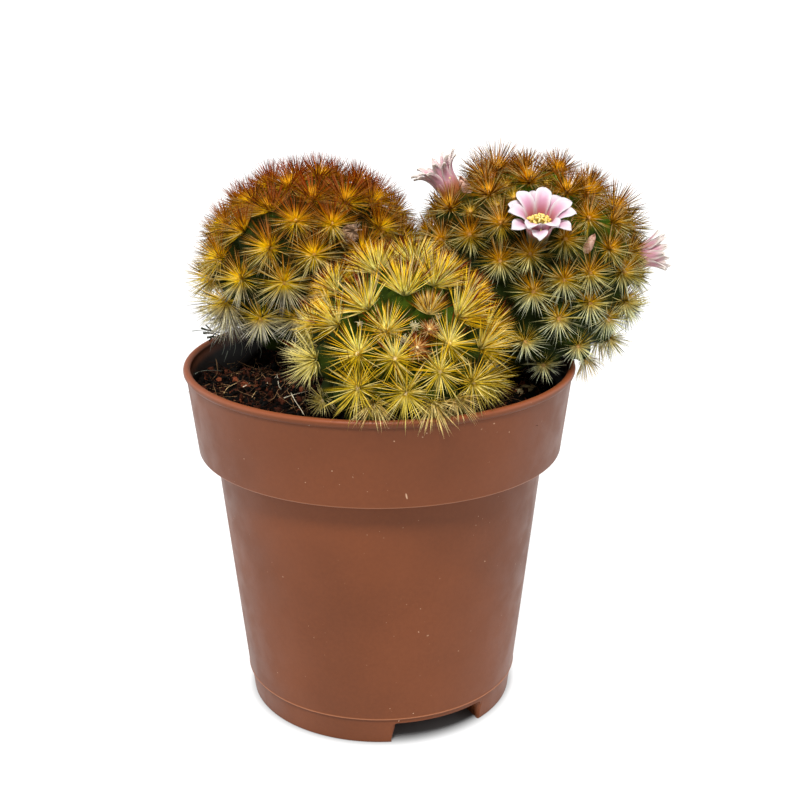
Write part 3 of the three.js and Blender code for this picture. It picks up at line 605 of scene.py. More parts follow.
heads = {
    "left": {
        "centre": (-11.4, 9, 72.7), "radius": 16.9, "halfHeight": 15.1,
        "lean": 21, "towards": 130, "spacing": 6.1, "seed": 4, "slot": "cactus_left",
        "spineLength": 5.6, "spineRadius": 0.058, "spinesEach": 185, "bristlesEach": 180,
        "bareBelow": 65.5, "behindSize": 1, "shutShare": 0.4, "greenShare": 0.3,
        "thinBetween": (-0.5, 0.3), "paleFade": 0.85, "darkFade": 0, "boldShare": 0, "creamShare": 0,
        # areoles as the photograph shows them: pixel across, pixel down, size, and how far
        # across and down the middle of the spines lies from their root
        "seen": [
            (313, 199, 1, 0, -15), (345, 202, 1.15, 3, -14), (372, 203, 1.15, 9, -13),
            (271, 210, 1, -8, -15), (296, 221, 1, -1, -7), (332, 224, 1, 2, -5),
            (380, 228, 1, 11, -6), (244, 231, 1, -14, -11), (269, 248, 1, -10, -3),
            (314, 255, 1, -1, -5), (364, 252, 1, 3, -7), (220, 258, 1, -13, -5),
            (241, 279, 1, -10, 0), (284, 283, 1.1, 1, 4), (226, 303, 1.3, -12, 13),
            (261, 319, 1, 0, 5), (205, 279, 1, -13, 0), (230, 319, 0.95, -3, 13),
            (212, 315, 0.9, -11, 9),
        ],
        # colours along a spine, root to tip, and of the wool, by how far up the spine points
        "coats": [
            (-0.45, (222, 196, 140), (212, 206, 176), (214, 208, 186), (222, 214, 200), (206, 130, 60)),
            (-0.10, (255, 218, 20), (232, 196, 26), (170, 146, 60), (184, 166, 110), (240, 190, 100)),
            (0.40, (255, 216, 10), (236, 176, 4), (160, 104, 10), (136, 78, 18), (255, 228, 150)),
            (0.85, (236, 176, 6), (184, 94, 0), (138, 50, 0), (114, 36, 4), (240, 208, 146)),
        ],
    },
    "right": {
        "centre": (24.7, 4.2, 73.2), "radius": 17.9, "halfHeight": 17.0,
        "lean": 21, "towards": 14, "spacing": 5.9, "seed": 5, "slot": "cactus_right",
        "spineLength": 4.5, "spineRadius": 0.056, "spinesEach": 132, "bristlesEach": 160,
        "bareBelow": 59.5, "behindSize": 1, "shutShare": 0.5, "greenShare": 1,
        "thinBetween": (-0.5, 0.3), "paleFade": 0.5, "darkFade": 0, "boldShare": 0, "creamShare": 0,
        "young": ((230, 190, 60), (206, 160, 30), (160, 126, 20), (120, 86, 16)),
        "seen": [
            (529, 181, 1.25, 0, -13), (489, 194, 1.1, -3, -11), (501, 223, 1.1, -4, -5),
            (470, 235, 1, -1, -3), (442, 240, 1, -5, -3), (450, 208, 1.15, -4, -12),
            (567, 192, 1.15, 2, -12), (587, 194, 1.3, 7, -9), (589, 218, 1.05, 2, -4),
            (565, 239, 1, 5, 0), (530, 254, 1, 1, -2), (500, 261, 1, -1, -1),
            (533, 292, 1, 0, 1), (564, 280, 1, 0, 2), (590, 273, 1, 4, 0),
            (610, 249, 1, 8, -3), (559, 319, 1, 2, 2), (590, 303, 1, 4, 2),
            (578, 346, 0.9, 2, 3), (525, 342, 0.9, 3, 0), (543, 365, 0.85, 0, 2),
            (614, 211, 1.4, 9, -9), (623, 272, 1.1, 9, 0), (608, 319, 0.9, 4, 5),
            (625, 302, 1, 8, 6), (496, 169, 1.4, 3, -13), (482, 175, 1.15, -6, -9),
            (462, 187, 1.1, -6, -9), (626, 226, 1.25, 12, -4), (558, 172, 1.1, 2, -11),
            (613, 342, 0.9, 6, 6), (587, 362, 0.8, 4, 7), (507, 187, 0.55, -1, -5),
            (514, 198, 0.5, 0, -4), (498, 206, 0.5, -2, -4), (546, 185, 0.5, 1, -5),
            (471, 212, 0.55, -1, -4),
        ],
        "coats": [
            (-0.42, (232, 206, 120), (214, 214, 156), (208, 214, 178), (232, 236, 212), (236, 180, 100)),
            (-0.05, (218, 178, 36), (184, 156, 34), (144, 130, 48), (176, 166, 98), (206, 160, 96)),
            (0.40, (222, 162, 4), (182, 126, 6), (130, 88, 12), (132, 94, 34), (212, 168, 98)),
            (0.85, (230, 166, 4), (192, 116, 2), (138, 74, 4), (126, 66, 16), (216, 172, 98)),
        ],
    },
    "front": {
        "centre": (3, -18, 66), "radius": 14, "halfHeight": 12.5,
        "lean": 53, "towards": -81, "spacing": 5.9, "seed": 6, "slot": "cactus_front",
        "spineLength": 6, "spineRadius": 0.07, "spinesEach": 146, "bristlesEach": 120,
        "bareBelow": 60, "behindSize": 0.8, "shutShare": 1, "greenShare": 0.4,
        "thinBetween": (0.3, 0.8), "paleFade": 0, "darkFade": 0.5, "boldShare": 0.38,
        "creamShare": 0.75,
        "young": ((246, 200, 130), (210, 128, 56), (156, 66, 26), (122, 44, 16)),
        "seen": [
            (405, 294, 1.14, 0, -22), (367, 308, 1.08, -11, -15), (434, 285, 1.08, 8, -17),
            (337, 324, 1.1, -17, -9), (387, 331, 0.85, -1, -11), (429, 313, 0.7, 1, -13),
            (459, 317, 1.12, 16, -12), (358, 354, 0.97, -8, -4), (395, 359, 0.92, 0, -3),
            (417, 348, 0.48, 1, -3), (429, 330, 0.36, 1, -3), (449, 344, 0.88, 5, -5),
            (440, 372, 1, 1, 0), (482, 348, 1.05, 16, -8), (473, 383, 1, 10, 2),
            (406, 393, 1, 0, 5), (358, 388, 1.05, -4, 3), (315, 360, 1.05, -17, 1),
            (433, 404, 0.85, 1, 11), (500, 383, 0.95, 12, 8), (322, 401, 0.55, -2, 2),
            (374, 405, 0.8, 0, 9), (337, 292, 0.85, -15, -9), (467, 296, 0.85, 14, -11),
            (495, 328, 0.95, 18, -9), (456, 400, 0.8, 6, 9),
        ],
        "coats": [
            (-0.62, (255, 240, 155), (238, 218, 88), (225, 203, 88), (215, 189, 112), (255, 226, 160)),
            (-0.08, (228, 202, 56), (206, 174, 12), (180, 150, 20), (166, 133, 36), (240, 222, 176)),
            (0.35, (250, 226, 90), (238, 198, 34), (220, 172, 22), (202, 140, 22), (250, 228, 180)),
            (0.62, (255, 246, 160), (255, 234, 90), (252, 206, 44), (228, 144, 20), (255, 232, 180)),
            (0.85, (255, 250, 170), (255, 238, 100), (250, 212, 44), (222, 136, 18), (255, 232, 180)),
        ],
    },
}
tubercle = {
    "depth": 2.6, "bodyRoom": 0.45, "areoleRadius": 0.36, "woolRise": 0.24,
    "tries": 1500,                # places tried on a head
    "closest": 0.83,              # how near two may first be, as a share of the spacing
    "settled": 1.06,              # and how far apart they push each other, in so many rounds
    "rounds": 40,
}
spine = {
    "stations": (0.34, 0.66),     # where its colour and width change
    "widths": (0.96, 0.74),
    "lifts": (2, 56),             # degrees above the plane of the areole
    "shutLifts": (34, 80),        # more upright in a cluster that is still shut
    "shutWithin": (25, 90),       # degrees from the top, where clusters are shut and where open
    "opensOut": 38,               # degrees away from the crown that a cluster opens
    "opensWithin": (25, 110),
    "footRing": 0.36,
    "middleReach": 0.55,          # how far the middle of a cluster lies out, as a share
    "sag": 1.4,                   # how far the tips droop where they hang over the lip
    # dark spines stand partly for real dark spines, partly for painted shade in the gaps; pale ones
    # partly for painted highlights
    "darkAndShadedShare": 0.32,
    "darkAndShadedTone": 0.26,
    "paleAndHighlightShare": 0.26,
    "thinShare": 0.35,            # how many are left out low on a head
    "paleAndHighlight": srgb(255, 244, 170),
    "rust": srgb(104, 28, 2),
    "tan": srgb(232, 198, 134),
    "cream": (srgb(252, 238, 150), srgb(242, 226, 110), srgb(232, 220, 140), srgb(228, 216, 168)),
}
bristle = {"length": 0.5, "lifts": (10, 82)}
for head in heads.values():
    head["middle"] = np.array(head["centre"], float)
    head["axis"] = direction(head["towards"], 90 - head["lean"])
    across, along = sidesOf(head["axis"][None])
    head["sides"] = np.array([across[0], along[0], head["axis"]])
    head["radii"] = np.array([head["radius"], head["radius"], head["halfHeight"]])

# The peat that the heads stand in

soil = {
    "wallLevel": 53, "moundLevel": 56.8, "moundInner": 11, "moundOuter": 29,
    "leftRise": 3.0,              # the peat lies higher on the left, against the wall
    "pitAt": (-22, 13), "pitSize": 4.5, "pitDepth": 5,
    "crumbs": 6800, "crumbSizes": (0.1, 0.6), "fibres": 1000, "seed": 11,
    "dark": srgb(8, 6, 4), "rust": srgb(64, 30, 17), "red": srgb(108, 55, 33),
    "tan": srgb(166, 128, 88), "shares": (0.66, 0.94, 0.988),
}


def pitAt(x, y):
    # a dark hollow behind, on the left
    off = np.hypot(x - soil["pitAt"][0], y - soil["pitAt"][1]) / soil["pitSize"]
    return soil["pitDepth"] * np.exp(-0.5 * off ** 2)


def soilLevel(x, y):
    radius = np.hypot(x, y)
    fall = rise(radius, soil["moundInner"], soil["moundOuter"])
    left = soil["leftRise"] * rise(-x, 4, 24) * rise(radius, 8, 28)
    return soil["moundLevel"] + (soil["wallLevel"] - soil["moundLevel"]) * fall + left - pitAt(x, y)


def outsideHead(head, points):
    local = (points - head["middle"]) @ head["sides"].T / head["radii"]
    return (np.linalg.norm(local, axis=-1) - 1) * head["radius"]


def clearOfPot(points):
    # how far outside the pot's collar and lip
    flat = np.stack([np.hypot(points[..., 0], points[..., 1]), points[..., 2]], axis=-1)
    low = np.array([pot["collarFootRadius"] - pot["wall"] / 2, pot["collarFoot"]])
    high = np.array([(pot["rimRadius"] + lipInner) / 2, pot["height"] - 0.6])
    run = high - low
    part = np.clip((flat - low) @ run / (run @ run), 0, 1)
    return np.linalg.norm(flat - low - part[..., None] * run, axis=-1) - 0.6


def clearOfNeighbours(head, points):
    own = outsideHead(head, points)
    room = clearOfPot(points)
    for other in heads.values():
        if other is not head:
            room = np.minimum(room, (outsideHead(other, points) - own) / 2)
    return room


def pressedIn(head, points):
    # where heads press on the lip or on each other, the flesh gives way
    points = points.copy()
    steps = 60
    for _ in range(steps):
        tight = clearOfNeighbours(head, points) < tubercle["bodyRoom"]
        if not tight.any():
            break
        points[tight] += 0.015 * (head["middle"] - points[tight])
    return points


def onSurface(head, units, depth=0.0):
    shrink = (1 - np.asarray(depth, float) / head["radius"])
    return head["middle"] + (units * head["radii"] * shrink[..., None]) @ head["sides"]


def unitSeenAt(head, px, py):
    start, way = rayThrough(px, py)
    o = (start - head["middle"]) @ head["sides"].T / head["radii"]
    d = way @ head["sides"].T / head["radii"]
    a, b, c = d @ d, o @ d, o @ o - 1
    under = b * b - a * c
    part = (-b - math.sqrt(under)) / a if under > 0 else -b / a
    return unitOf(o + d * part)


def areoleUnits(head, rng):
    units = [unitSeenAt(head, *entry[:2]) for entry in head["seen"]]
    sizes = [entry[2] for entry in head["seen"]]
    fixed = len(units)
    tries = tubercle["tries"]
    for i in rng.permutation(tries):
        height = 1 - (2 * i + 1) / tries
        flat = math.sqrt(1 - height * height)
        unit = np.array([flat * math.cos(goldenAngle * i), flat * math.sin(goldenAngle * i), height])
        gaps = np.linalg.norm((np.array(units) - unit) * head["radii"], axis=1)
        if gaps.min() > tubercle["closest"] * head["spacing"]:
            units.append(unit)
            sizes.append(1.0)
    units = np.array(units)
    for _ in range(tubercle["rounds"]):
        gaps = (units[:, None] - units[None]) * head["radii"]
        far = np.linalg.norm(gaps, axis=2) + np.eye(len(units)) * 99
        push = np.clip(1 - far / (tubercle["settled"] * head["spacing"]), 0, 1)
        move = (gaps / far[..., None] * push[..., None]).sum(1) / head["radii"]
        units[fixed:] += 1.2 * move[fixed:]
        units = unitOf(units)
    return units, np.array(sizes)


def facings(head, units, normals):
    # which way each cluster of spines opens: away from the crown, or as the photograph shows
    outward = unitOf(normals - (normals @ head["axis"])[:, None] * head["axis"])
    fromCrown = np.degrees(np.arccos(np.clip(units[:, 2], -1, 1)))
    tilt = np.radians(spine["opensOut"] * (1 - rise(fromCrown, *spine["opensWithin"])))[:, None]
    facing = unitOf(normals * np.cos(tilt) + outward * np.sin(tilt))
    shut = 1 - rise(fromCrown, *spine["shutWithin"])
    right, up, _ = cameraSides()
    for i, (px, py, size, across, down) in enumerate(head["seen"]):
        start, way = rayThrough(px, py)
        distance = np.linalg.norm(head["middle"] - start)
        reach = spine["middleReach"] * head["spineLength"] * size * focal / distance
        sideways = (right * across - up * down) / reach
        length = np.linalg.norm(sideways)
        sideways = sideways * min(1, 0.97 / max(length, 1e-6))
        shut[i] = rise(length, 0.3, 0.85)
        facing[i] = sideways - way * math.sqrt(max(1 - sideways @ sideways, 0))
    return unitOf(facing), shut * head["shutShare"]


def fleshOf(name, head, units):
    deselectAll()
    bpy.ops.mesh.primitive_ico_sphere_add(subdivisions=6, radius=1)
    obj = named(name + "Flesh")
    ways = unitOf(pointsOf(obj))
    near = np.full((len(ways), 2), 99.0)
    for unit in units:
        gap = np.linalg.norm((ways - unit) * head["radii"], axis=1)
        near[:, 1] = np.minimum(near[:, 1], np.maximum(near[:, 0], gap))
        near[:, 0] = np.minimum(near[:, 0], gap)
    part = np.clip(2 * near[:, 0] / (near[:, 0] + near[:, 1]), 0, 1)
    depth = tubercle["depth"] * (1 - (1 - part ** 2) ** 0.62)
    movePoints(obj, pressedIn(head, onSurface(head, ways, depth)))
    weigh(obj, "valley", part)
    weigh(obj, "green", head["greenShare"] * rise(ways[:, 2], 0.35, 0.97))
    smooth(obj)
    return obj


def fleshMaterial():
    material, tree, shader, place = startMaterial("cactusFlesh", Roughness=0.7,
                                                  Specular_IOR_Level=0.05)
    mottle = spread(tree, noise(tree, place, 0.5, 3), 0.3, 0.7)
    young = blendColors(tree, mottle, srgb(58, 86, 10), srgb(94, 118, 20))
    old = blendColors(tree, mottle, srgb(26, 36, 6), srgb(40, 52, 10))
    tone = blendColors(tree, attribute(tree, "green"), old, young)
    # painted shade: the valleys between the tubercles are darkened to near black
    tone = blendColors(tree, spread(tree, attribute(tree, "valley"), 0.55, 1, 0, 0.55), tone,
                       srgb(12, 18, 4))
    flecks = spread(tree, noise(tree, place, 5.5, 1), 0.68, 0.74, 0, 0.35)
    tone = blendColors(tree, flecks, tone, srgb(150, 166, 80))
    tree.links.new(tone, shader.inputs["Base Color"])
    bump(tree, shader, noise(tree, place, 3, 3), 0.06, 0.4)
    return material


# Flowers and buds grow out between the tubercles

flowers = {
    "open": {
        "piece": "openFlower", "node": "flower_open", "petalLook": "white",
        "head": "right", "seenAt": (538, 229), "raised": 2.2, "lean": 58, "towards": -88,
        "length": 8.6, "tubeRadius": 1.5, "throatRadius": 2.4, "spread": 5.6, "petals": 13,
        "petalLength": 4.9, "lifts": (10, 22), "curl": 104, "curlLate": 1.7, "petalWidth": 2.6,
        "seed": 31, "cup": 0.18, "turn": 22, "roundness": 3.2, "ripple": 0.15, "tipFrom": 0.66,
    },
    "left": {
        "piece": "leftFlower", "node": "flower_left", "petalLook": "pink",
        "head": "right", "azimuth": 170, "elevation": 43, "lean": 56, "towards": 178,
        "length": 8.0, "tubeRadius": 1.6, "throatRadius": 2.3, "spread": 4.0, "petals": 16,
        "petalLength": 4.8, "lifts": (0, 10), "curl": 78, "curlLate": 1.8, "petalWidth": 2.0,
        "seed": 32, "cup": 0.1, "turn": 0, "roundness": 0.8, "ripple": 0.2, "tipFrom": 0.2,
    },
    "right": {
        "piece": "rightFlower", "node": "flower_right", "petalLook": "pink",
        "head": "right", "azimuth": -8, "elevation": 9, "lean": 11, "towards": -8,
        "length": 6.8, "tubeRadius": 1.7, "throatRadius": 2.3, "spread": 3.0, "petals": 16,
        "petalLength": 3.7, "lifts": (2, 12), "curl": 30, "curlLate": 1.6, "petalWidth": 1.9,
        "seed": 33, "cup": 0.14, "turn": 12, "roundness": 1.1, "ripple": 0.28, "tipFrom": 0.4,
    },
}
buds = {
    "bud_front": {
        "head": "right", "azimuth": -56.5, "elevation": 21, "lean": 62, "towards": -50,
        "length": 4.0, "radius": 0.75, "piece": "frontBud", "slot": "bud", "seed": 51,
        "scales": 8, "scaleWidth": 0.5625, "crumple": 0.05, "closing": 0.42,
    },
    "bud_top": {
        "head": "right", "azimuth": 178, "elevation": 52, "lean": 60, "towards": 178,
        "length": 4.7, "radius": 0.9, "piece": "topBud", "slot": "bud", "seed": 52,
        "scales": 8, "scaleWidth": 0.675, "crumple": 0.05, "closing": 0.42,
    },
    "dried_flower": {
        "head": "left", "azimuth": -63, "elevation": 30, "lean": 30, "towards": -63,
        "length": 4.6, "radius": 1.5, "piece": "driedFlower", "slot": "dried_flower", "seed": 53,
        "scales": 12, "scaleWidth": 1.1, "crumple": 0.3, "closing": 0.8,
    },
}


def lipOf(flower):
    # how far up its tube the petals part
    return flower["length"] - 0.6 * flower["petalLength"]


def placeBloom(bloom, axis, girths):
    head = heads[bloom["head"]]
    sunk = 2.7
    if "seenAt" in bloom:
        unit = unitSeenAt(head, *bloom["seenAt"])
        throat = onSurface(head, unit, -bloom["raised"])
        bloom["foot"] = throat - axis * lipOf(bloom)
    else:
        way = direction(bloom["azimuth"], bloom["elevation"])
        stretch = np.linalg.norm(way @ head["sides"].T / head["radii"])
        bloom["foot"] = head["middle"] + way * (1 - sunk / head["radius"]) / stretch
    bloom["axis"] = axis
    bloom["girths"] = girths


for flower in flowers.values():
    tube = flower["tubeRadius"]
    placeBloom(flower, direction(flower["towards"], flower["lean"]),
               (tube, tube, flower["throatRadius"], flower["spread"]))
for bud in buds.values():
    placeBloom(bud, direction(bud["towards"], bud["lean"]), (bud["radius"],) * 4)
blooms = [*flowers.values(), *buds.values()]


def clearOfBlooms(head, points):
    room = np.full(points.shape[:-1], 99.0)
    for bloom in blooms:
        if heads[bloom["head"]] is head:
            along = (points - bloom["foot"]) @ bloom["axis"] / bloom["length"]
            part = np.clip(along, 0, 1)
            beside = bloom["foot"] + part[..., None] * bloom["length"] * bloom["axis"]
            width = np.interp(part, (0, 0.3, 0.68, 1), bloom["girths"])
            room = np.minimum(room, np.linalg.norm(points - beside, axis=-1) - width)
    return room


def spineRoom(head, points):
    room = np.minimum(clearOfPot(points), clearOfBlooms(head, points))
    for other in heads.values():
        slack = 1.1 if other is head else 0.3
        room = np.minimum(room, outsideHead(other, points) + slack)
    ground = points[..., 2] - soilLevel(points[..., 0], points[..., 1]) + 0.3
    return np.minimum(room, ground)


def steerClear(head, feet, ways, lengths, outward, sags):
    # bends spines away from the lip, the peat, other heads and the blooms
    need, rounds, shorterAfter = 0.12, 26, 14
    marks = np.array([0.3, 0.5, 0.7, 0.85, 1.0])
    drops = sags[:, None, None] * (marks ** 2)[:, None] * (0, 0, 1)
    for turn in range(rounds):
        points = feet[:, None] + (ways * lengths[:, None])[:, None] * marks[:, None] - drops
        room = spineRoom(head, points)
        worst = room.argmin(1)
        tight = np.where(room.min(1) < need)[0]
        if len(tight) == 0:
            break
        at = points[tight, worst[tight]]
        base = room[tight, worst[tight]]
        slope = np.stack([spineRoom(head, at + step) - base for step in 0.1 * np.eye(3)], axis=-1)
        ways[tight] = unitOf(ways[tight] + 0.22 * unitOf(slope) + 0.05 * outward[tight])
        if turn > shorterAfter:
            lengths[tight] *= 0.9
    points = feet[:, None] + (ways * lengths[:, None])[:, None] * marks[:, None] - drops
    return spineRoom(head, points).min(1) > -0.05


def thorn(stations, widths):
    # one spine or bristle of length 1, as points and triangles
    deselectAll()
    bpy.ops.mesh.primitive_cone_add(vertices=3, radius1=1, radius2=0, depth=1, location=(0, 0, 0.5))
    obj = named("thorn")
    bpy.ops.object.transform_apply(location=True)
    bpy.ops.object.mode_set(mode="EDIT")
    for station in stations:
        bpy.ops.mesh.select_all(action="SELECT")
        bpy.ops.mesh.bisect(plane_co=(0, 0, station), plane_no=(0, 0, 1))
    bpy.ops.mesh.select_all(action="SELECT")
    bpy.ops.mesh.quads_convert_to_tris()
    bpy.ops.object.mode_set(mode="OBJECT")
    points, faces = pointsOf(obj), facesOf(obj)
    discard(obj)
    for station, width in zip(stations, widths):
        ring = np.abs(points[:, 2] - station) < 0.01
        points[ring, :2] = unitOf(points[ring, :2]) * width
    return points, faces


spineShape = thorn(spine["stations"], spine["widths"])
bristleShape = thorn((), ())


def coatOf(head, upness, part):
    levels = [coat[0] for coat in head["coats"]]
    colors = np.array([srgb(*coat[part]) for coat in head["coats"]])
    return np.stack([np.interp(upness, levels, colors[:, channel]) for channel in range(3)], axis=-1)


def overLip(tips):
    # the clusters that hang over the pot's lip
    outward = rise(np.hypot(tips[:, 0], tips[:, 1]), 28.5, 29.8)
    return outward * (1 - rise(tips[:, 2], 61.6, 63.6))


def growSpines(head, areoles, rng, short):
    # where each spine stands, its way, length and droop, and the number of its areole
    tips, facing, sizes = [areoles[key] for key in ("tips", "facing", "sizes")]
    count = head["bristlesEach"] if short else head["spinesEach"]
    number = len(tips)
    share = (np.arange(count) + 0.5) / count
    low, high = [wide + (closed - wide) * areoles["shut"][:, None]
                 for wide, closed in zip(spine["lifts"], spine["shutLifts"])]
    if short:
        low, high = np.maximum(low, bristle["lifts"][0]), bristle["lifts"][1]
    lifts = np.radians(low + (high - low) * share + rng.normal(0, 3, (number, count)))
    turns = rng.uniform(0, 2 * math.pi, (number, 1)) + goldenAngle * np.arange(count)
    turns = turns + rng.normal(0, 0.12, (number, count))
    across, along = sidesOf(facing)
    flat = (across[:, None] * np.cos(turns)[..., None] + along[:, None] * np.sin(turns)[..., None])
    ways = flat * np.cos(lifts)[..., None] + facing[:, None] * np.sin(lifts)[..., None]
    ring = spine["footRing"] * sizes[:, None] ** 0.5 * (1 - 0.8 * share)
    feet = tips[:, None] + flat * ring[..., None] - 0.12 * facing[:, None]
    lengths = head["spineLength"] * sizes[:, None] * rng.uniform(0.8, 1.06, (number, count))
    lengths = lengths * (bristle["length"] if short else 1 - 0.08 * share)
    droop = overLip(tips) * spine["sag"] * (0.1 if short else 1)
    sags = np.repeat(droop, count)
    outward = np.repeat(facing, count, axis=0)
    feet, ways, lengths = feet.reshape(-1, 3), ways.reshape(-1, 3), lengths.ravel()
    kept = steerClear(head, feet, ways, lengths, outward, sags)
    thin = spine["thinShare"] * (1 - rise(areoles["normals"][:, 2], *head["thinBetween"]))
    kept &= rng.random(number * count) > np.repeat(thin, count)
    owner = np.repeat(np.arange(number), count)[kept]
    return feet[kept], ways[kept], lengths[kept], sags[kept], owner


def spinesOf(name, head, areoles, rng, short):
    feet, ways, lengths, sags, owner = growSpines(head, areoles, rng, short)
    own = {key: part[owner] for key, part in areoles.items()}
    total = len(feet)
    # some of the spines that stand up are longer, thicker and rust red
    upness = 0.5 * own["normals"][:, 2] + 0.5 * ways[:, 2]
    bold = (rng.random(total) < head["boldShare"] * rise(upness, 0.15, 0.75)) & (not short)
    lengths = lengths * (1 + 0.1 * bold)
    shape, triangles = bristleShape if short else spineShape
    sideA, sideB = sidesOf(ways)
    bowTurn = rng.uniform(0, 2 * math.pi, total)
    bow = (sideA * np.cos(bowTurn)[:, None] + sideB * np.sin(bowTurn)[:, None])
    bow = bow * (lengths * rng.uniform(0, 0.04, total))[:, None]
    thick = head["spineRadius"] * rng.uniform(0.75, 1.25, total) * np.sqrt(own["sizes"])
    thick = thick * (1 + 0.25 * bold)
    x, y, z = shape.T
    points = (feet[:, None] + ways[:, None] * (lengths[:, None] * z)[..., None]
              + bow[:, None] * (4 * z * (1 - z))[None, :, None]
              + sideA[:, None] * (thick[:, None] * x)[..., None]
              + sideB[:, None] * (thick[:, None] * y)[..., None])
    points[..., 2] -= sags[:, None] * z ** 2
    obj = manyOf(name + ("Bristles" if short else "Spines"), points, triangles)
    stations = spineColors(head, own, upness, bold, rng, short)
    colors = np.zeros((total, len(z), 3))
    marks = (0, 1) if short else (0, *spine["stations"], 1)
    for mark, color in zip(marks, stations):
        colors[:, np.abs(z - mark) < 0.01] = color[:, None]
    paint(obj, np.clip(colors, 0, 1).reshape(-1, 3))
    smooth(obj)
    return obj


def spineColors(head, own, upness, bold, rng, short):
    # the colours at the root, at the two stations and at the tip
    normals, total = own["normals"], len(upness)
    stations = [coatOf(head, upness, part) for part in (1, 2, 3, 4)]
    if "young" in head:
        young = (1 - rise(own["ages"], 0.45, 0.9))[:, None]
        stations = [old + (srgb(*new) - old) * young for old, new in zip(stations, head["young"])]
    # old spines on the lower left bleach to cream, bold ones have rust ends, and those that
    # hang over the lip have dried to tan
    side = rise(-normals[:, 0], 0.55, 0.85) * (1 - rise(normals[:, 2], 0.15, 0.5))
    bleached = (head["creamShare"] * side)[:, None]
    stations = [old + (new - old) * bleached for old, new in zip(stations, spine["cream"])]
    stations = [part + (spine["rust"] - part) * share * bold[:, None]
                for part, share in zip(stations, (0, 0.4, 1, 1))]
    over = overLip(own["tips"])[:, None]
    stations = [part + (spine["tan"] - part) * share * over
                for part, share in zip(stations, (0.1, 0.45, 0.7, 0.85))]
    # each spine has its own shade: some are paler than their neighbours, real pale spines and painted
    # highlights along the spines, and some far darker, real dark spines and painted shade in the gaps
    # between them
    kind = rng.random(total)
    shade = rng.uniform(0.8, 1.15, total)
    crowned = rise(upness, 0.1, 0.6)
    palerAndHighlit = 0.6 * (kind > 1 - spine["paleAndHighlightShare"]) * (1 - head["paleFade"] * crowned)
    if not short:
        darkAndShadedShare = spine["darkAndShadedShare"] * (1 - head["darkFade"] * crowned)
        shade = np.where(kind < darkAndShadedShare, shade * spine["darkAndShadedTone"], shade)
    stations = [(part + (spine["paleAndHighlight"] - part) * mix * palerAndHighlit[:, None]) * (shade[:, None] if k else 1)
                for k, (part, mix) in enumerate(zip(stations, (0.5, 1, 0.8, 0.4)))]
    return [stations[0], (stations[0] + stations[1]) / 2] if short else stations


def spineMaterial():
    material, tree, shader, place = startMaterial("spineBristle", Roughness=0.5,
                                                  Specular_IOR_Level=0.03)
    tree.links.new(flecked(tree, place, (1.4, 3, 0.6), 0.86, 1.14), shader.inputs["Base Color"])
    return material


def ballShape(subdivisions):
    deselectAll()
    bpy.ops.mesh.primitive_ico_sphere_add(subdivisions=subdivisions, radius=1)
    ball = named("ball")
    points, faces = pointsOf(ball), facesOf(ball)
    discard(ball)
    return points, faces


def areoleTufts(name, head, areoles, rng):
    shape, triangles = ballShape(2)
    tips, facing = areoles["tips"], areoles["facing"]
    across, along = sidesOf(facing)
    fuzz = rng.uniform(0.8, 1.25, (len(tips), len(shape)))
    size = tubercle["areoleRadius"] * np.sqrt(areoles["sizes"])[:, None] * fuzz
    points = (tips[:, None] + across[:, None] * (size * shape[:, 0])[..., None]
              + along[:, None] * (size * shape[:, 1])[..., None]
              + facing[:, None] * (0.8 * size * shape[:, 2] + tubercle["woolRise"])[..., None])
    obj = manyOf(name + "Areoles", points, triangles)
    paint(obj, np.repeat(coatOf(head, facing[:, 2], 5), len(shape), axis=0))
    smooth(obj)
    return obj


def woolMaterial():
    material, tree, shader, place = startMaterial("areoleWool", Roughness=0.9, Sheen_Weight=0.3)
    tree.links.new(flecked(tree, place, (6, 3, 0.7), 0.75, 1.15), shader.inputs["Base Color"])
    bump(tree, shader, noise(tree, place, 9, 2), 0.08, 0.7)
    return material


def areolesOf(head, units, ages):
    # the areoles that bear spines: not those in the peat, against another head or under a bloom
    seen = len(head["seen"])
    tips = pressedIn(head, onSurface(head, units, np.zeros(len(units))))
    normals = unitOf((units / head["radii"]) @ head["sides"])
    facing, shut = facings(head, units, normals)
    hidden = normals @ cameraSides()[2] > -0.35
    hidden[:seen] = False
    sizes = np.where(hidden, ages * head["behindSize"], ages)
    free = tips[:, 2] > head["bareBelow"]
    free[:seen] = True
    free &= tips[:, 2] > soilLevel(tips[:, 0], tips[:, 1]) + 0.5
    free &= clearOfBlooms(head, tips) > 0.3
    free &= clearOfNeighbours(head, tips) > tubercle["bodyRoom"] - 0.05
    areoles = {"tips": tips, "normals": normals, "facing": facing, "shut": shut,
               "sizes": sizes, "ages": ages}
    return {key: part[free] for key, part in areoles.items()}


fleshLook, spineLook, woolLook = fleshMaterial(), spineMaterial(), woolMaterial()
for name, head in heads.items():
    rng = np.random.default_rng(head["seed"])
    units, ages = areoleUnits(head, rng)
    intoFrame(fleshOf(name, head, units), fleshLook, head["slot"], "stem_" + name)
    areoles = areolesOf(head, units, ages)
    print(name, "areoles", len(areoles["tips"]))
    for short in (False, True):
        intoFrame(spinesOf(name, head, areoles, rng, short), spineLook, head["slot"])
    intoFrame(areoleTufts(name, head, areoles, rng), woolLook, head["slot"])


# Flowers

def petalCurve(flower, lift):
    # the middle line of a petal, from the foot of the tube to its tip, as radius and height
    lip, steps = lipOf(flower), 16
    line = [(flower["tubeRadius"] - 0.15, 0.0), (flower["tubeRadius"], 0.3 * lip)]
    radius, height = flower["throatRadius"] - 0.3, lip
    line += [(0.5 * (flower["tubeRadius"] + radius), 0.68 * lip), (radius, height)]
    for i in range(steps):
        pitch = math.radians(lift + flower["curl"] * ((i + 0.5) / steps) ** flower["curlLate"])
        radius += math.sin(pitch) * flower["petalLength"] / steps
        height += math.cos(pitch) * flower["petalLength"] / steps
        line.append((radius, height))
    return np.array(line)


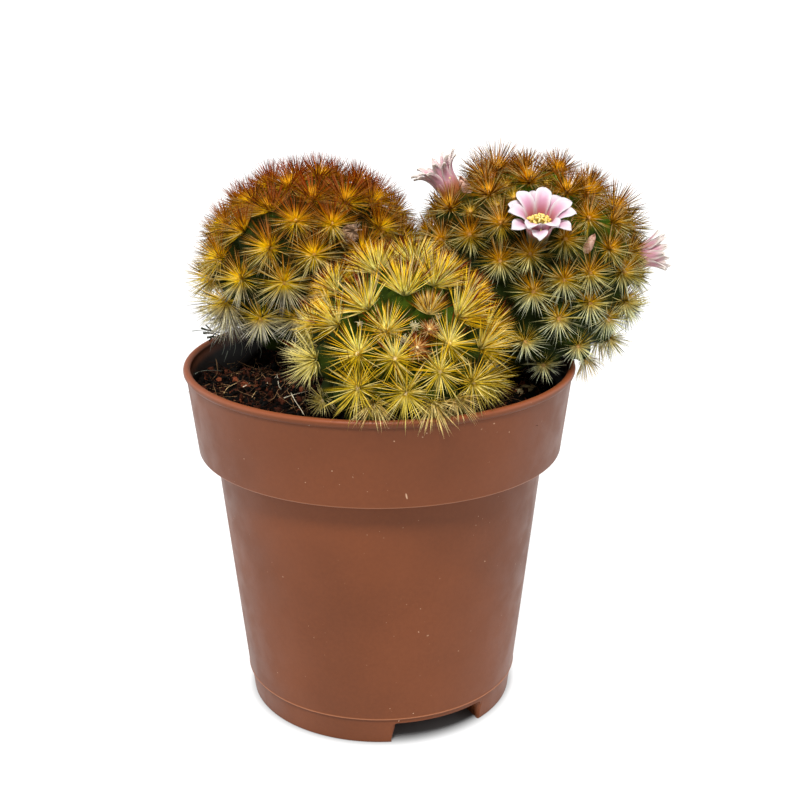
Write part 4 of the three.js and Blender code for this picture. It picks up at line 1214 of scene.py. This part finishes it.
def petalWidths(flower, along, tubeShare):
    # half the width: a strap that fills the tube, then a rounded blade
    strap = math.pi * flower["throatRadius"] / flower["petals"] * 1.5
    blade = np.clip((along - tubeShare) / (1 - tubeShare), 0, 1)
    wide = strap + (flower["petalWidth"] / 2 - strap) * rise(blade, 0, 0.45)
    end = np.clip((blade - flower["tipFrom"]) / (1 - flower["tipFrom"]), 0, 1)
    tip = np.sqrt(np.clip(1 - end ** flower["roundness"], 0, 1))
    narrowFoot = 0.55 + 0.45 * rise(along, 0, tubeShare)
    return np.maximum(wide * tip * narrowFoot, 0.05)


def petalOf(flower, lift, rng):
    deselectAll()
    bpy.ops.mesh.primitive_grid_add(x_subdivisions=7, y_subdivisions=16, size=2)
    petal = named("petal")
    line = petalCurve(flower, lift + rng.normal(0, 4))
    lengths = np.concatenate([[0], np.cumsum(np.linalg.norm(np.diff(line, axis=0), axis=1))])
    tubeShare = 1 - flower["petalLength"] / lengths[-1]
    points = pointsOf(petal)
    side, along = points[:, 0], (points[:, 1] + 1) / 2
    radius = np.interp(along * lengths[-1], lengths, line[:, 0])
    height = np.interp(along * lengths[-1], lengths, line[:, 1])
    half = petalWidths(flower, along, tubeShare)
    blade = rise(along, tubeShare, 1)
    turn = side * half / np.maximum(radius, 0.8)
    ripple = flower["ripple"] * blade * np.sin(6 * side + 9 * along + rng.uniform(0, 6))
    edge = flower["cup"] * blade * side ** 2 - 0.1 * blade * np.exp(-(side / 0.2) ** 2)
    twist = rng.normal(0, 0.12) * blade * side * half
    inward = edge + ripple + twist
    radius = radius - 0.5 * inward
    movePoints(petal, np.stack([radius * np.cos(turn), radius * np.sin(turn), height + inward], axis=-1))
    thicken(petal, 0.14)
    return petal


def makeFlower(flower):
    rng = np.random.default_rng(flower["seed"])
    place = frameOf(flower["axis"], flower["foot"])
    petals = []
    for i in range(flower["petals"]):
        lift = flower["lifts"][i % 2]
        petal = petalOf(flower, lift, rng)
        turn = math.radians(flower["turn"] + 360 / flower["petals"] * i + rng.normal(0, 3))
        inner = Matrix.Scale(1 - 0.05 * (i % 2), 4)
        petal.data.transform(place @ Matrix.Rotation(turn, 4, "Z") @ inner)
        petals.append(petal)
    obj = joined(petals, flower["piece"])
    smooth(obj)
    return obj


def petalMaterial(name, throat, stripe, edge, stripeReach, tube, tubeReach):
    # a band of stripe along the middle, over edge, with the throat and the tube's foot below it
    material, tree, shader, place = startMaterial(name, Roughness=0.55, Sheen_Weight=0.15)
    uv = tree.nodes.new("ShaderNodeUVMap")
    split = tree.nodes.new("ShaderNodeSeparateXYZ")
    tree.links.new(uv.outputs[0], split.inputs[0])
    offMiddle = maths(tree, "ABSOLUTE", maths(tree, "SUBTRACT", split.outputs[0], 0.5))
    offMiddle = maths(tree, "MULTIPLY", offMiddle, 2.0)
    along = split.outputs[1]
    veins = noise(tree, place, 2.2, 3)
    reach = maths(tree, "ADD", offMiddle, maths(tree, "MULTIPLY", veins, 0.25))
    band = spread(tree, reach, 0.35, 1.2, 1, 0)
    fade = spread(tree, along, stripeReach[0], stripeReach[1], 1, 0)
    tone = blendColors(tree, maths(tree, "MULTIPLY", band, fade), edge, stripe)
    deep = spread(tree, along, 0.52, 0.86, 1, 0)
    wideBand = spread(tree, reach, 0.55, 1.15, 1, 0.35)
    tone = blendColors(tree, maths(tree, "MULTIPLY", deep, wideBand), tone, throat)
    tone = blendColors(tree, spread(tree, along, *tubeReach, 1, 0), tone, tube)
    tree.links.new(tone, shader.inputs["Base Color"])
    bump(tree, shader, noise(tree, place, 3.5, 2), 0.03, 0.4)
    return material


petalLooks = {
    "white": petalMaterial("openPetal", srgb(176, 86, 98), srgb(194, 146, 170),
                           srgb(208, 200, 202), (0.76, 0.98), srgb(96, 84, 34), (0.36, 0.5)),
    "pink": petalMaterial("pinkPetal", srgb(200, 138, 150), srgb(198, 144, 160),
                          srgb(214, 204, 196), (0.74, 1.0), srgb(176, 104, 56), (0.36, 0.6)),
}
for flower in flowers.values():
    intoFrame(makeFlower(flower), petalLooks[flower["petalLook"]], "petal", flower["node"])

stamens = {
    "count": 64, "filamentRadius": 0.1, "antherRadius": 0.25, "antherHalf": 0.27,
    "outerLean": 27, "innerLean": 14, "outerLength": 3.0, "innerLength": 3.3,
    "styleRadius": 0.14, "styleLength": 3.7, "lobes": 5, "lobeTilt": -14,
    "lobeRadii": (0.42, 0.17, 0.15), "lobeAt": (0.42, 0, 3.75),
    "sunk": 0.2,                  # how far below the throat they stand
}


def stick(name, radius, length, vertices=5):
    deselectAll()
    bpy.ops.mesh.primitive_cylinder_add(vertices=vertices, radius=radius, depth=length,
                                        location=(0, 0, length / 2))
    obj = named(name)
    bpy.ops.object.transform_apply(location=True)
    return obj


def bead(name, radii, place, subdivisions=2):
    deselectAll()
    bpy.ops.mesh.primitive_ico_sphere_add(subdivisions=subdivisions, radius=1)
    obj = named(name)
    obj.data.transform(Matrix.Translation(place) @ Matrix.Diagonal((*radii, 1)))
    return obj


def makeStamens(flower):
    s = stamens
    rng = np.random.default_rng(flower["seed"] + 5)
    floor = lipOf(flower) - flower["throatRadius"] - s["sunk"]
    place = frameOf(flower["axis"], flower["foot"] + flower["axis"] * floor)
    pieces = []
    for i in range(s["count"]):
        ring = "outer" if i % 3 > 0 else "inner"
        lean = math.radians(s[ring + "Lean"] + rng.normal(0, 2.5))
        length = s[ring + "Length"] + rng.normal(0, 0.14)
        tilt = (Matrix.Rotation(goldenAngle * i, 4, "Z") @ Matrix.Translation((0.3, 0, 0))
                @ Matrix.Rotation(lean, 4, "Y"))
        filament = stick("filament", s["filamentRadius"], length, 4)
        anther = bead("anther", (s["antherRadius"], s["antherRadius"], s["antherHalf"]), (0, 0, length))
        for piece in (filament, anther):
            piece.data.transform(place @ tilt)
            pieces.append(piece)
    style = stick("style", s["styleRadius"], s["styleLength"], 8)
    style.data.transform(place)
    pieces.append(style)
    for i in range(s["lobes"]):
        lobe = bead("lobe", s["lobeRadii"], s["lobeAt"])
        lobe.data.transform(place @ Matrix.Rotation(2 * math.pi * i / s["lobes"], 4, "Z")
                            @ Matrix.Rotation(math.radians(s["lobeTilt"]), 4, "Y"))
        pieces.append(lobe)
    obj = joined(pieces, flower["piece"] + "Stamens")
    smooth(obj, 60)
    return obj


pollenLook = mottledMaterial("pollen", 0.75, (3, 2), (0.4, 0.6), srgb(228, 200, 84),
                             srgb(238, 226, 150), (12, 2), 0.05, 0.6)
intoFrame(makeStamens(flowers["open"]), pollenLook, "stamen", "flower_open_stamens")
for key in ("left", "right"):
    intoFrame(makeStamens(flowers[key]), pollenLook, "stamen")


# Buds and the dried flower

def makeBud(bud):
    # a core wrapped in scales of three sizes, each further round than the last
    rng = np.random.default_rng(bud["seed"])
    place = frameOf(bud["axis"], bud["foot"])
    radius, length, crumple = bud["radius"], bud["length"], bud["crumple"]
    scales = []
    for i in range(bud["scales"]):
        deselectAll()
        bpy.ops.mesh.primitive_grid_add(x_subdivisions=6, y_subdivisions=14, size=2)
        scale = named("scale")
        points = pointsOf(scale)
        side, along = points[:, 0], (points[:, 1] + 1) / 2
        reach = radius * np.interp(along, (0, 0.35, 0.7, 0.92, 1),
                                   (0.7, 0.94, 0.82, bud["closing"], 0.1))
        half = bud["scaleWidth"] * np.sqrt(np.clip(1 - np.abs(2 * along - 0.9) ** 3, 0.004, 1))
        turn = side * half / np.maximum(reach, 0.45)
        rough = crumple * np.sin(5 * side + 8 * along + rng.uniform(0, 6)) * along
        rough = rough + crumple * rng.normal(0, 0.35, len(side)) * along
        reach = np.maximum(reach + rough, 0.06)
        height = length * along * rng.uniform(0.86, 1.0) + 0.5 * rough
        movePoints(scale, np.stack([reach * np.cos(turn), reach * np.sin(turn), height], axis=-1))
        thicken(scale, 0.12)
        scale.data.transform(place @ Matrix.Rotation(goldenAngle * i, 4, "Z")
                             @ Matrix.Scale(1 - 0.05 * (i % 3), 4))
        scales.append(scale)
    core = bead("core", (0.62 * radius, 0.62 * radius, 0.42 * length), (0, 0, 0.42 * length), 3)
    core.data.transform(place)
    obj = joined([core, *scales], bud["piece"])
    smooth(obj)
    return obj


budLooks = {
    "bud": mottledMaterial("budScale", 0.6, (1.4, 3), (0.35, 0.65), srgb(222, 182, 164),
                           srgb(192, 138, 112), (5, 2), 0.05, 0.5),
    "dried_flower": mottledMaterial("driedPetal", 0.85, (1.1, 4, 0.6), (0.35, 0.65),
                                    srgb(104, 76, 52), srgb(186, 152, 120), (4, 3), 0.15, 0.8),
}
for node, bud in buds.items():
    intoFrame(makeBud(bud), budLooks[bud["slot"]], bud["slot"], node)


# The peat

def onPeat(rng, count, least, most):
    radius = np.sqrt(rng.uniform(least ** 2, most ** 2, count))
    turn = rng.uniform(0, 2 * math.pi, count)
    x, y = radius * np.cos(turn), radius * np.sin(turn)
    places = np.stack([x, y, soilLevel(x, y)], axis=-1)
    free = pitAt(x, y) < 1.5
    for head in heads.values():
        free &= outsideHead(head, places) > -1
    return places[free]


def insideWall(height):
    heights, radii = (ledge, beadFoot - 0.4), (collarInnerFoot, collarInnerTop)
    return np.interp(height, heights, radii) - 0.25


def peatBed():
    edge = insideWall(soil["wallLevel"] - 1)
    rings, around = 44, 150
    profile = [(0, baseTop), (bodyInnerFoot - 0.3, baseTop), (bodyInnerTop - 0.3, ledge + 0.3),
               (collarInnerFoot - 0.3, ledge + 0.3), (edge, soil["wallLevel"] - 1)]
    profile += [(edge * (1 - (i + 0.4) / (rings + 0.4)), soil["wallLevel"]) for i in range(rings)]
    profile.append((0, soil["wallLevel"]))
    bed = turnedShape("peatBed", profile, around)
    points = pointsOf(bed)
    top = points[:, 2] > soil["wallLevel"] - 0.5
    x, y = points[top, 0], points[top, 1]
    lumps = sum(size * np.sin(x * f + a) * np.sin(y * f * 1.1 + b) for size, f, a, b in
                ((0.35, 0.7, 0.3, 1.2), (0.22, 1.7, 2.1, 0.4), (0.14, 3.1, 0.8, 2.5)))
    grains = np.random.default_rng(soil["seed"]).normal(0, 0.1, top.sum())
    points[top, 2] = soilLevel(x, y) + lumps + grains
    outer = (np.hypot(x, y) / edge) ** 4
    points[top, :2] *= (1 + (insideWall(soilLevel(x, y)) / edge - 1) * outer)[:, None]
    movePoints(bed, points)
    smooth(bed, 50)
    return bed


def crumbs():
    rng = np.random.default_rng(soil["seed"] + 1)
    shape, triangles = ballShape(1)
    places = onPeat(rng, soil["crumbs"], 1, collarInnerFoot + 0.4)
    count = len(places)
    small, large = soil["crumbSizes"]
    size = small + (large - small) * rng.random(count) ** 2.6
    places[:, 2] += 0.25 * size + rng.uniform(-0.1, 0.5, count)
    turns = [Matrix.Rotation(a, 3, "Z") @ Matrix.Rotation(b, 3, "X")
             for a, b in rng.uniform(0, 2 * math.pi, (count, 2))]
    stretch = rng.uniform(0.3, 1.7, (count, 1, 3))
    lumps = shape[None] * rng.uniform(0.7, 1.2, (count, len(shape), 1)) * stretch * size[:, None, None]
    points = np.einsum("nij,nkj->nki", np.array([np.array(t) for t in turns]), lumps) + places[:, None]
    obj = manyOf("peatCrumbs", points, triangles)
    tints = np.array([soil[key] for key in ("dark", "rust", "red", "tan")])
    tint = tints[np.searchsorted(soil["shares"], rng.random(count))] * rng.uniform(0.6, 1.3, (count, 1))
    paint(obj, np.repeat(tint, len(shape), axis=0))
    return obj


def wander(start, way, length, curl, rng, steps=7):
    # a thread that bends at random, and stays above the peat
    line, here, heading = [], np.array(start), np.array(way)
    for _ in range(steps):
        line.append(here)
        heading = unitOf(heading + rng.normal(0, curl, 3) * (1, 1, 0.5))
        here = here + heading * length / (steps - 1)
        floor = soilLevel(here[0], here[1]) + 0.05 if np.hypot(*here[:2]) < 30 else -99
        here = np.array([here[0], here[1], max(here[2], floor)])
    return np.array(line)


def threads(name, lines, radii, colors, sides=3):
    # closed tubes along the lines, thinner towards their ends
    points, faces, tints = [], [], []
    for line, radius, color in zip(lines, radii, colors):
        steps = len(line)
        across, along = sidesOf(unitOf(np.gradient(line, axis=0)))
        first = len(points)
        for i in range(steps):
            width = radius * (1 - 0.6 * i / (steps - 1))
            for k in range(sides):
                turn = 2 * math.pi * k / sides
                out = across[i] * math.cos(turn) + along[i] * math.sin(turn)
                points.append(line[i] + width * out)
                tints.append(color)
        for i in range(steps - 1):
            for k in range(sides):
                a, b = first + i * sides + k, first + i * sides + (k + 1) % sides
                faces.append((a, b, b + sides, a + sides))
        faces.append([first + k for k in reversed(range(sides))])
        faces.append([first + (steps - 1) * sides + k for k in range(sides)])
    obj = meshObject(name, points, faces)
    paint(obj, np.array(tints))
    smooth(obj)
    return obj


def fibres():
    rng = np.random.default_rng(soil["seed"] + 2)
    starts = onPeat(rng, soil["fibres"], 3, 28.5)
    starts[:, 2] += rng.uniform(0.1, 0.5, len(starts))
    count = len(starts)
    turn = rng.uniform(0, 2 * math.pi, count)
    ways = unitOf(np.stack([np.cos(turn), np.sin(turn), rng.uniform(-0.1, 0.5, count)], axis=-1))
    lines = [wander(start, way, length, curl, rng) for start, way, length, curl in
             zip(starts, ways, rng.uniform(1.5, 5.5, count), rng.uniform(0.15, 0.5, count))]
    share = rng.random((count, 1))
    tint = (soil["rust"] + (soil["tan"] - soil["rust"]) * share ** 2) * rng.uniform(0.5, 1.2, (count, 1))
    return threads("peatFibres", lines, rng.uniform(0.035, 0.1, count), tint)


def peatMaterial():
    material, tree, shader, place = startMaterial("peat", Roughness=0.95, Specular_IOR_Level=0.05)
    grain = noise(tree, place, 1.3, 5, 0.7)
    # dark peat, made darker still as painted shade in the gaps between the crumbs
    tone = blendColors(tree, spread(tree, grain, 0.45, 0.75), soil["dark"] * 0.6, soil["rust"] * 0.7)
    tree.links.new(tone, shader.inputs["Base Color"])
    bump(tree, shader, grain, 0.5, 0.9)
    return material


def crumbMaterial():
    material, tree, shader, place = startMaterial("peatCrumb", Roughness=0.9, Specular_IOR_Level=0.1)
    tree.links.new(flecked(tree, place, (3, 4, 0.7), 0.6, 1.25), shader.inputs["Base Color"])
    bump(tree, shader, noise(tree, place, 4, 3), 0.2, 0.8)
    return material


intoFrame(peatBed(), peatMaterial(), "peat", "soil")
crumbLook = crumbMaterial()
intoFrame(crumbs(), crumbLook, "peat")
intoFrame(fibres(), crumbLook, "peat")


# Loose hairs on the peat, across the lip and on the collar, and tufts of wool and dead spines

hairs = {
    "radius": 0.068,
    "lift": 0.7,
    "white": srgb(240, 226, 196),
    "straw": srgb(226, 190, 134),
    "grey": srgb(120, 124, 112),
    "dark": srgb(58, 60, 42),
    # pixels across and down, with a height where it isn't on the peat, then colour and thickness
    "lines": [
        (((224, 393), (227, 388), (232, 385), (237, 383)), "straw", 1.6),
        (((243, 387), (247, 385), (250, 383)), "white", 1.4),
        (((231, 376), (234, 370), (237, 366)), "straw", 1.3),
        (((251, 374), (254, 368), (256, 359)), "straw", 1.1),
        (((222, 364), (228, 364), (235, 363)), "straw", 1.2),
        (((195, 374), (200, 371), (211, 370), (223, 371)), "grey", 0.9),
        (((275, 368), (272, 373), (268, 380), (267, 386)), "white", 0.9),
        (((277, 374), (278, 381), (279, 387), (281, 389)), "white", 0.9),
        (((270, 366), (274, 369), (277, 373), (275, 378)), "white", 0.8),
        (((252, 397), (254, 394), (256, 391)), "straw", 1.5),
        (((291, 393), (295, 401), (300, 408, 59.2), (303, 413, 59.6), (305, 416, 58.9)), "white", 1.3),
        (((284, 398), (292, 395), (300, 393), (308, 391)), "white", 1.1),
    ],
    "hanging": [
        (((192, 331), (197, 330.5), (204, 331), (209, 333)), "grey", 1.3),
        (((201, 328), (209, 330.5), (222, 333)), "dark", 3.4),
        (((203, 333), (211, 332.5), (224, 337)), "dark", 3.4),
        (((207, 337.5), (214, 336), (226, 340)), "dark", 3.6),
        (((206, 325), (210, 329), (216, 335)), "dark", 2.4),
        (((209, 341), (213, 335), (221, 329)), "dark", 2.4),
        (((221, 334), (216, 341), (212, 348)), "grey", 1.3),
        (((216, 336), (212, 343), (210, 352)), "grey", 1.1),
        (((235, 340), (236, 348), (233, 356)), "grey", 1.2),
        (((240, 338), (243, 347), (241, 356)), "grey", 1.1),
        (((250, 340), (249, 348), (252, 356)), "grey", 1.2),
        (((258, 344), (262, 351), (260, 358)), "grey", 1.1),
        (((225, 344), (224, 350), (222, 355)), "grey", 1.2),
        (((228, 351), (226, 357), (224, 362)), "grey", 1.2),
        (((230, 336), (231, 344), (230, 350)), "grey", 1.3),
    ],
    "hangingDepth": 4,            # how far behind the pot's middle they hang
    "onCollar": [
        ((300, 421.5), (304, 423.5), (312, 423), (318, 423.5), (324, 426)),
        ((308, 420), (311, 423), (309, 426)),
    ],
}
# tufts grow from a head where the photograph shows them: pixels, length and number of hairs
tufts = [
    {
        "piece": "frontWool", "head": "front", "color": srgb(240, 228, 184), "radius": 0.055,
        "places": [(414, 326.5, 1.1, 60), (438, 317.5, 0.7, 30), (360.5, 323.5, 0.7, 30),
                   (404, 341, 1.2, 56)],
    },
    {
        "piece": "leftDeadSpines", "head": "left", "color": srgb(58, 46, 22), "radius": 0.1,
        "places": [(214, 334, 1.9, 60)],
    },
    {
        "piece": "driedFlowerFuzz", "head": "left", "color": srgb(214, 190, 168), "radius": 0.06,
        "places": [(350, 240, 1.5, 60), (344, 236, 1.3, 30), (355, 229, 1.4, 30)],
    },
]


def hairLine(px, py, height=None):
    # the point above the peat, or at a height, that the pixel shows
    start, way = rayThrough(px, py)
    level = height or soil["wallLevel"]
    for _ in range(6):
        place = start + way * (level - start[2]) / way[2]
        level = height or soilLevel(*place[:2]) + hairs["lift"]
    return place


def softened(line):
    # rounds the corners of a line twice over
    for _ in range(2):
        ahead, behind = line[1:], line[:-1]
        inner = np.stack([0.75 * behind + 0.25 * ahead, 0.25 * behind + 0.75 * ahead], axis=1)
        line = np.concatenate([line[:1], inner.reshape(-1, 3)[1:-1], line[-1:]])
    return line


def hangingAt(px, py):
    start, way = rayThrough(px, py)
    return start + way * (hairs["hangingDepth"] - start[1]) / way[1]


def looseHairs():
    lines, colors, radii = [], [], []
    for entries, placed in ((hairs["lines"], hairLine), (hairs["hanging"], hangingAt)):
        for marks, color, width in entries:
            lines.append(np.array([placed(*mark) for mark in marks]))
            colors.append(hairs[color])
            radii.append(hairs["radius"] * width)
    for marks in hairs["onCollar"]:
        lines.append(np.array([onWall(px, py, pot["collarTopRadius"] + 0.25) for px, py in marks]))
        colors.append(hairs["white"])
        radii.append(hairs["radius"] * 0.8)
    return threads("looseHairs", [softened(line) for line in lines], radii, colors)


def tuftOf(tuft, rng):
    head = heads[tuft["head"]]
    lines = []
    for px, py, length, count in tuft["places"]:
        unit = unitSeenAt(head, px, py)
        normal = unitOf((unit / head["radii"]) @ head["sides"])
        foot = pressedIn(head, onSurface(head, unit[None], np.array([0.1])))[0]
        for _ in range(count):
            way = unitOf(normal + rng.normal(0, 0.55, 3))
            start = foot + 0.3 * length * rng.normal(0, 0.4, 3)
            lines.append(wander(start, way, length * rng.uniform(0.6, 1.1), 0.4, rng, 4))
    tints = tuft["color"] * rng.uniform(0.6, 1.15, (len(lines), 1))
    return threads(tuft["piece"], lines, [tuft["radius"]] * len(lines), tints)


def hairMaterial():
    material, tree, shader, place = startMaterial("looseHair", Roughness=0.7, Specular_IOR_Level=0.1)
    tree.links.new(flecked(tree, place, (4, 2), 0.85, 1.1), shader.inputs["Base Color"])
    return material


hairLook = hairMaterial()
intoFrame(looseHairs(), hairLook, "peat")
for number, tuft in enumerate(tufts):
    wool = tuftOf(tuft, np.random.default_rng(90 + number))
    intoFrame(wool, hairLook, heads[tuft["head"]]["slot"])


# Stones on the peat

stones = [
    {"node": "stone_1", "at": (24.6, -0.6), "radius": 1.0},
    {"node": "stone_2", "at": (25.6, 1.4), "radius": 0.7},
    {"node": "stone_3", "at": (23.2, -2.6), "radius": 0.6},
]


def makeStone(stone, number):
    rng = np.random.default_rng(70 + number)
    x, y = stone["at"]
    radius = stone["radius"]
    obj = bead("peatStone" + str(number), (1, 1, 1), (0, 0, 0), 4)
    points = pointsOf(obj)
    waves = sum(rng.normal(0, 0.06) * np.sin(points @ rng.normal(0, 2.2, 3) + rng.uniform(0, 6))
                for _ in range(6))
    points = points * (1 + waves[:, None]) * radius * np.array([1.2, 1, 0.8])
    movePoints(obj, points + (x, y, float(soilLevel(x, y)) + 0.45 * radius))
    smooth(obj)
    return obj


stoneLook = mottledMaterial("stone", 0.75, (1.5, 4), (0.35, 0.65), srgb(186, 152, 96),
                            srgb(226, 204, 150), (5, 3), 0.08, 0.6)
for number, stone in enumerate(stones, 1):
    intoFrame(makeStone(stone, number), stoneLook, "stone", stone["node"])


# Floor and light

studio = {
    "floor": 0.15, "floorGlow": 0.95, "floorSize": 1.6,
    "sky": 0.5, "below": 1.15, "front": 0.2, "sides": 1.8,
    "sunStrength": 3.5, "sunAngle": 13, "sunTurn": (34, 0, -8),
    "fillEnergy": 0.3, "fillSize": 0.4, "fillAt": (0.12, -0.6, 0.3), "fillTowards": (0, 0, 0.06),
}


def makeFloor():
    deselectAll()
    bpy.ops.mesh.primitive_plane_add(size=studio["floorSize"], location=(0, 0, 0))
    floor = named("floor")
    material, tree, shader, place = startMaterial("floorPaper", Roughness=0.9)
    shader.inputs["Base Color"].default_value = (*[studio["floor"]] * 3, 1)
    shader.inputs["Emission Color"].default_value = (1, 1, 1, 1)
    # the paper is brightened, but not under the pot, where the dark paper left without glow is a painted
    # shadow
    edge = pot["footRadius"]
    glow = spread(tree, lengthOf(tree, place), edge - 2, edge + 2, 0, studio["floorGlow"])
    tree.links.new(glow, shader.inputs["Emission Strength"])
    floor.data.materials.append(material)


def makeLights():
    sun = bpy.data.objects.new("sunLight", bpy.data.lights.new("sunLight", "SUN"))
    sun.data.energy = studio["sunStrength"]
    sun.data.angle = math.radians(studio["sunAngle"])
    sun.rotation_euler = [math.radians(turn) for turn in studio["sunTurn"]]
    bpy.context.scene.collection.objects.link(sun)
    soft = bpy.data.objects.new("fillLight", bpy.data.lights.new("fillLight", "AREA"))
    soft.data.size = studio["fillSize"]
    soft.data.energy = studio["fillEnergy"]
    soft.location = studio["fillAt"]
    shine = Vector(studio["fillTowards"]) - soft.location
    soft.rotation_euler = shine.to_track_quat("-Z", "Y").to_euler()
    bpy.context.scene.collection.objects.link(soft)


def makeSky():
    # brighter at the two sides, and white below the horizon, beyond the floor's edge
    world = bpy.data.worlds.new("studioWorld")
    world.use_nodes = True
    tree = world.node_tree
    background = tree.nodes["Background"]
    background.inputs["Color"].default_value = (1, 1, 1, 1)
    coordinates = tree.nodes.new("ShaderNodeTexCoord")
    split = tree.nodes.new("ShaderNodeSeparateXYZ")
    tree.links.new(coordinates.outputs["Generated"], split.inputs[0])
    front = spread(tree, split.outputs["Y"], -0.85, 0.1, studio["front"], studio["sky"])
    sides = spread(tree, maths(tree, "ABSOLUTE", split.outputs["X"]), 0.45, 0.95, 0, studio["sides"])
    front = maths(tree, "ADD", front, sides)
    above = spread(tree, split.outputs["Z"], -0.02, 0.04)
    level = maths(tree, "ADD", maths(tree, "MULTIPLY", above, front),
                  maths(tree, "MULTIPLY", maths(tree, "SUBTRACT", 1.0, above), studio["below"]))
    tree.links.new(level, background.inputs["Strength"])
    bpy.context.scene.world = world
    bpy.context.scene.view_settings.view_transform = "Standard"


makeFloor()
makeLights()
makeSky()
print("studio ready")
